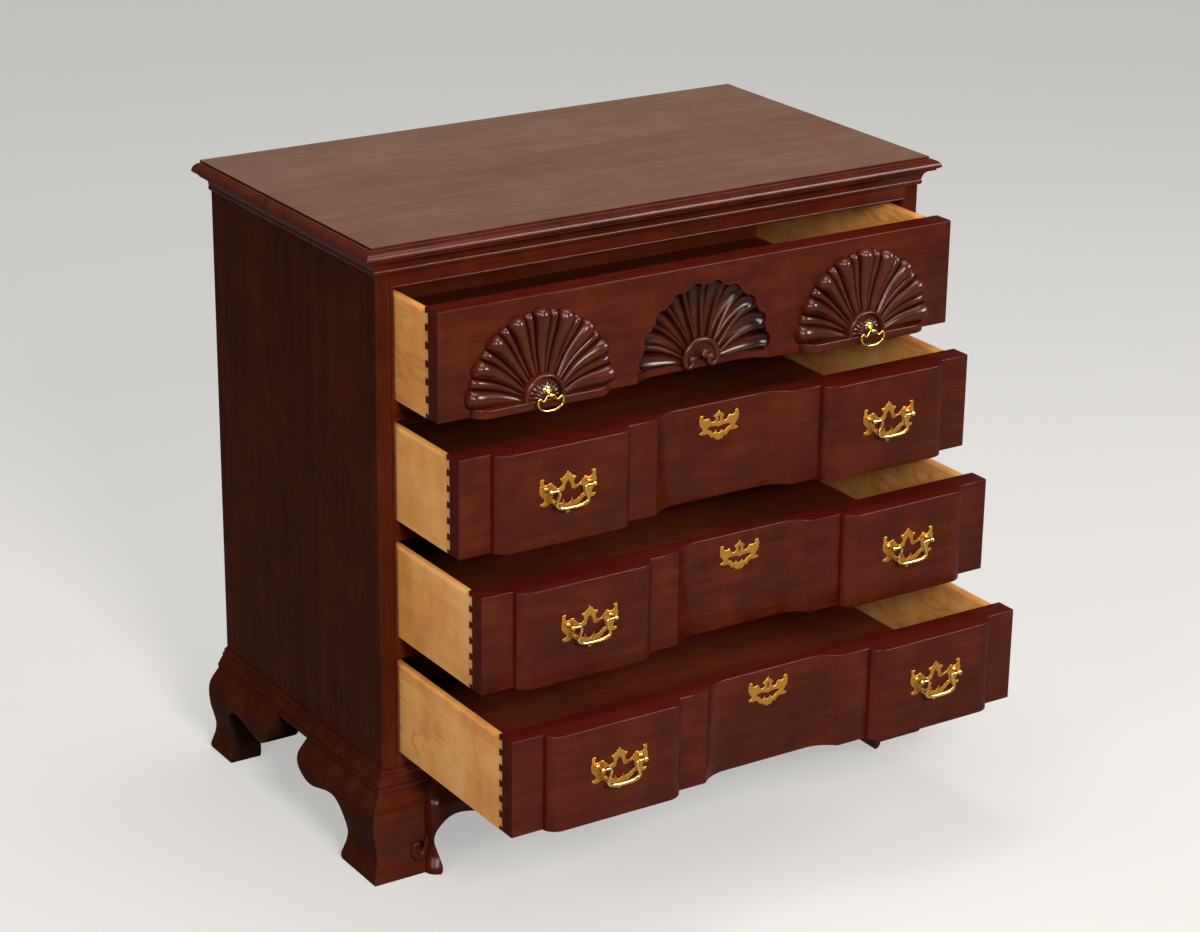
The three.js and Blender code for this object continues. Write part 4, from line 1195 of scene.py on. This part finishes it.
bailLook = {
    "halfSpan": 32, "drop": 25.5, "endRadius": 1.7, "middleRadius": 2.9, "extra": 6,
    "route": [
        (0.88, 0), (0.8, 0), (0.68, -0.01), (0.61, -0.08), (0.6, -0.22), (0.66, -0.44), (0.73, -0.66),
        (0.7, -0.84), (0.54, -0.95), (0.26, -1),
    ],
}
dropLook = {
    "lift": 22, "discLift": 3.6, "discReach": 3.2, "neckReach": 5.8, "ballDrop": 2,
    "rosette": [
        (0.01, 0), (6.8, 0), (6.8, 0.8), (6, 1.9), (4.8, 2.4), (3.6, 2.2), (2.6, 3), (2, 4), (2.2, 5.6),
    ],
    "postNeck": 2.2, "ballRadius": 3.6, "reach": 9,
    "halfSpan": 18.6, "drop": 20, "endRadius": 1.3, "middleRadius": 1.8, "extra": 5,
    "route": [
        (0.12, 0), (0.25, 0), (0.36, -0.13), (0.5, -0.31), (0.68, -0.28), (0.82, -0.15), (0.95, -0.22),
        (1, -0.46), (0.89, -0.74), (0.6, -0.93), (0.25, -1),
    ],
}
escutcheonLook = {
    **anyPlate, "thickness": 1.4, "drop": 33,
    "outline": [
        (0, 22.2), (1.5, 19.2), (4.5, 17.2), (8.6, 14.2), (6.2, 12), (6, 8.4), (8.6, 6.8), (11.8, 6.8),
        (13.6, 9.6), (16.2, 13), (19.4, 12.2), (23, 12.2), (25.2, 14.2), (24.6, 16.8), (27, 18.6), (30, 17.8),
        (31.4, 13), (31.2, 8), (30, 3.6), (27, 0.4), (25.6, -3.2), (28.4, -5.2), (30.6, -6.2), (28.6, -8.4),
        (23.5, -9.2), (18.6, -8.6), (15, -11), (12.4, -14.6), (9.8, -14.8), (8, -13.6), (7, -16.8),
        (4.2, -18.6), (2, -18.4), (0, -20.2),
    ],
    "hole": [
        (0, -1.2), (4.5, 0.4), (10.8, 1), (16.8, 0.4), (18.2, -1.8), (15.6, -3.8), (12.6, -4.8), (10.4, -7.4),
        (7.4, -8.8), (6.2, -8.2), (4.8, -5.4), (3.4, -8), (0, -9.6),
    ],
    "keyLift": 9, "keyHeight": 6.5, "keyWidth": 2.3, "keyRadius": 1.6, "keySteps": 16,
}


# Whole outline about a centre, from its right half and the mirror image
def wholeOutline(right, look, centre):
    left = mirrored([point for point in right if point[0] > 0])[::-1]
    line = smoothLine([*right, *left], look["smoothing"], closed=True)
    return [(x + centre[0], z + centre[1]) for x, z in line]


def keyhole(look, centre):
    x, low = centre[0], centre[1] + look["keyLift"] - look["keyHeight"] / 2
    half, radius = look["keyWidth"] / 2, look["keyRadius"]
    opening = asin(half / radius)
    turns = turnsBetween(-pi / 2 - opening, opening - 5 * pi / 2, look["keySteps"])
    eye = (x, low + look["keyHeight"])
    return [(x + half, low), (x - half, low), *[around(eye, radius, turn) for turn in turns]]


def addPlate(name, look, centre, face, body, node):
    front = -look["thickness"]
    plate = prism("y", wholeOutline(look["outline"], look, centre), front, 0)
    openings = [wholeOutline(look["hole"], look, centre)]
    if "keyHeight" in look:
        openings.append(keyhole(look, centre))
    cutters = [prism("y", outline, front - look["past"], look["past"]) for outline in openings]
    addPiece(name, plate, face, "plate_brass", body, node, cutters=cutters, arris=look["arris"])


def ballProfile(look, steps=10):
    radius, reach = look["ballRadius"], look["reach"]
    turns = turnsBetween(asin(look["postNeck"] / radius), pi, steps)
    return [(max(radius * sin(turn), pointRadius), reach - radius * cos(turn)) for turn in turns]


def bailShape(look, centreX, pivotY, pivotZ):
    right = [(centreX + x * look["halfSpan"], pivotZ + z * look["drop"]) for x, z in look["route"]]
    left = [(2 * centreX - x, z) for x, z in right]
    line = smoothLine([*right, (centreX, pivotZ - look["drop"]), *left[::-1]], look["extra"])
    swell = look["middleRadius"] - look["endRadius"]
    return rod(line, pivotY, lambda share: look["endRadius"] + swell * sin(pi * share) ** 2)


def addPull(drawer, side, sign):
    ends = f"{drawer['number']}_{side}"
    body, x = drawer["body"], sign * blockCentre
    z = drawer["floor"] + drawer["height"] - plateLook["postDrop"]
    face = drawer["face"] - blocking["rise"]
    front = -plateLook["thickness"]
    addPlate(f"pierced_plate_{ends}", plateLook, (x, z), face, body, f"pull_plate_{ends}")
    profile = plateLook["post"] + ballProfile(plateLook)
    posts = [turned(profile, (x + half * plateLook["postSpacing"] / 2, z), front) for _, half in sides]
    addPiece(f"bail_posts_{ends}", joined(*posts), face, "polished_brass", body, f"pull_plate_{ends}")
    bail = f"bail_{ends}"
    swanNeck = bailShape(bailLook, x, front - plateLook["reach"], z)
    addPiece(f"swan_neck_bail_{ends}", swanNeck, face, "polished_brass", bail, bail)


def addDropPull(drawer, side, sign):
    ends = f"{drawer['number']}_{side}"
    x, z = sign * blockCentre, drawer["floor"] + dropLook["lift"] - dropLook["ballDrop"]
    face = drawer["face"] - hubLook["middleRise"]
    points, faces, hollows = turned(dropLook["rosette"] + ballProfile(dropLook), (x, z), 0)

    # the disc sits above its ball, and the neck between them slopes
    def lifted(reach):
        share = (dropLook["neckReach"] - reach) / (dropLook["neckReach"] - dropLook["discReach"])
        return dropLook["discLift"] * min(max(share, 0), 1)

    rosette = ([(across, y, up + lifted(-y)) for across, y, up in points], faces, hollows)
    addPiece(f"rosette_{side}", rosette, face, "polished_brass", drawer["body"], f"rosette_{ends}")
    bail = f"drop_bail_{ends}"
    drop = bailShape(dropLook, x, -dropLook["reach"], z)
    addPiece(f"small_bail_{side}", drop, face, "polished_brass", bail, bail)


def addEscutcheon(drawer):
    number = drawer["number"]
    centre = (0, drawer["floor"] + drawer["height"] - escutcheonLook["drop"])
    face = drawer["face"] + blocking["recess"]
    addPlate(f"keyhole_plate_{number}", escutcheonLook, centre, face, drawer["body"], f"escutcheon_{number}")


for side, sign in sides:
    addDropPull(drawers[0], side, sign)
    for drawer in drawers[1:]:
        addPull(drawer, side, sign)
for drawer in drawers[1:]:
    addEscutcheon(drawer)
print("brasses made")


# Studio: pale floor, soft lamps and a pale surround. Its places and sizes are metres. A lamp is its place,
# its size, its power in watts and its colour.
studio = {
    "floorSize": 44, "paleFloor": (0.37, 0.36, 0.35), "dimFloor": (0.20, 0.185, 0.165), "clouds": (3, 3),
    "cloudDepth": 0.1, "floorGlow": (0.42, 0.415, 0.405), "noGlow": (0, 0, 0),
    "surround": (0.42, 0.41, 0.40), "surroundLight": (0.198, 0.194, 0.189), "aim": (0, -0.1, 0.45),
    "lamps": {
        "key": ((-1.0, -4.0, 2.6), (1.2, 1.2), 222, (1, 0.97, 0.92)),
        "left_fill": ((-3.3, -1.6, 2.3), (1.2, 1.2), 36, (1, 0.98, 0.96)),
        "right_fill": ((3.3, -1.0, 2.2), (1.2, 1.2), 34, (1, 0.98, 0.96)),
        "overhead": ((0.3, 0.5, 3.4), (1.4, 1.0), 47, (1, 0.98, 0.95)),
    },
    "softboxes": {
        "right_box": ((2.7, -3.2, 3.0), (2.2, 1.4), 450, (1, 0.94, 0.87)),
        "front_box": ((-2.1, -3.5, 3.0), (1.3, 1.3), 230, (1, 0.94, 0.87)),
        "side_box": ((-3.5, -1.8, 2.8), (1.3, 1.6), 110, (1, 0.94, 0.87)),
        "top_box": ((0, -0.9, 3.8), (2.8, 1.3), 130, (1, 0.98, 0.95)),
    },
}


def addFloor(look):
    half = look["floorSize"] / 2
    mesh = bpy.data.meshes.new("studio_floor")
    corners = [(-half, -half, 0), (half, -half, 0), (half, half, 0), (-half, half, 0)]
    mesh.from_pydata(corners, [], [range(4)])
    floor = bpy.data.objects.new("studio_floor", mesh)
    scene.collection.objects.link(floor)
    shader = Shader("studio_floor")
    clouds = shader.noise(shader.place(), *look["clouds"]) * look["cloudDepth"]
    pale = shader.mix(clouds, look["paleFloor"], look["dimFloor"])
    # the camera and the metal see the floor paler than it lights the wood
    seen = shader.seen()
    mesh.materials.append(shader.finish(shader.node("BsdfPrincipled", None, {
        "Base Color": shader.mix(seen, look["dimFloor"], pale),
        "Roughness": 1.0,
        "Specular IOR Level": 0.0,
        "Emission Color": shader.mix(seen, look["noGlow"], look["floorGlow"]),
        "Emission Strength": 1.0,
    })))


# The lamps light the wood, and the softboxes show in its polish and in the brass
def addLamps(look, kind):
    for name, (place, size, power, colour) in look[kind].items():
        light = bpy.data.lights.new(name, "AREA")
        light.shape = "RECTANGLE"
        light.size, light.size_y = size
        light.energy = power
        light.color = colour
        holder = bpy.data.objects.new(name, light)
        holder.location = place
        holder.visible_diffuse = kind == "lamps"
        holder.visible_glossy = kind == "softboxes"
        towards = Vector(look["aim"]) - Vector(place)
        holder.rotation_euler = towards.to_track_quat("-Z", "Y").to_euler()
        scene.collection.objects.link(holder)


def addSurround(look):
    world = bpy.data.worlds.new("surround")
    scene.world = world
    sky = Shader("surround", world)
    colour = sky.mix(sky.seen(), look["surroundLight"], look["surround"])
    sky.node("OutputWorld", None, {0: sky.node("Background", None, {"Color": colour, "Strength": 1.0})})


addFloor(studio)
addLamps(studio, "lamps")
addLamps(studio, "softboxes")
addSurround(studio)
print("studio made")
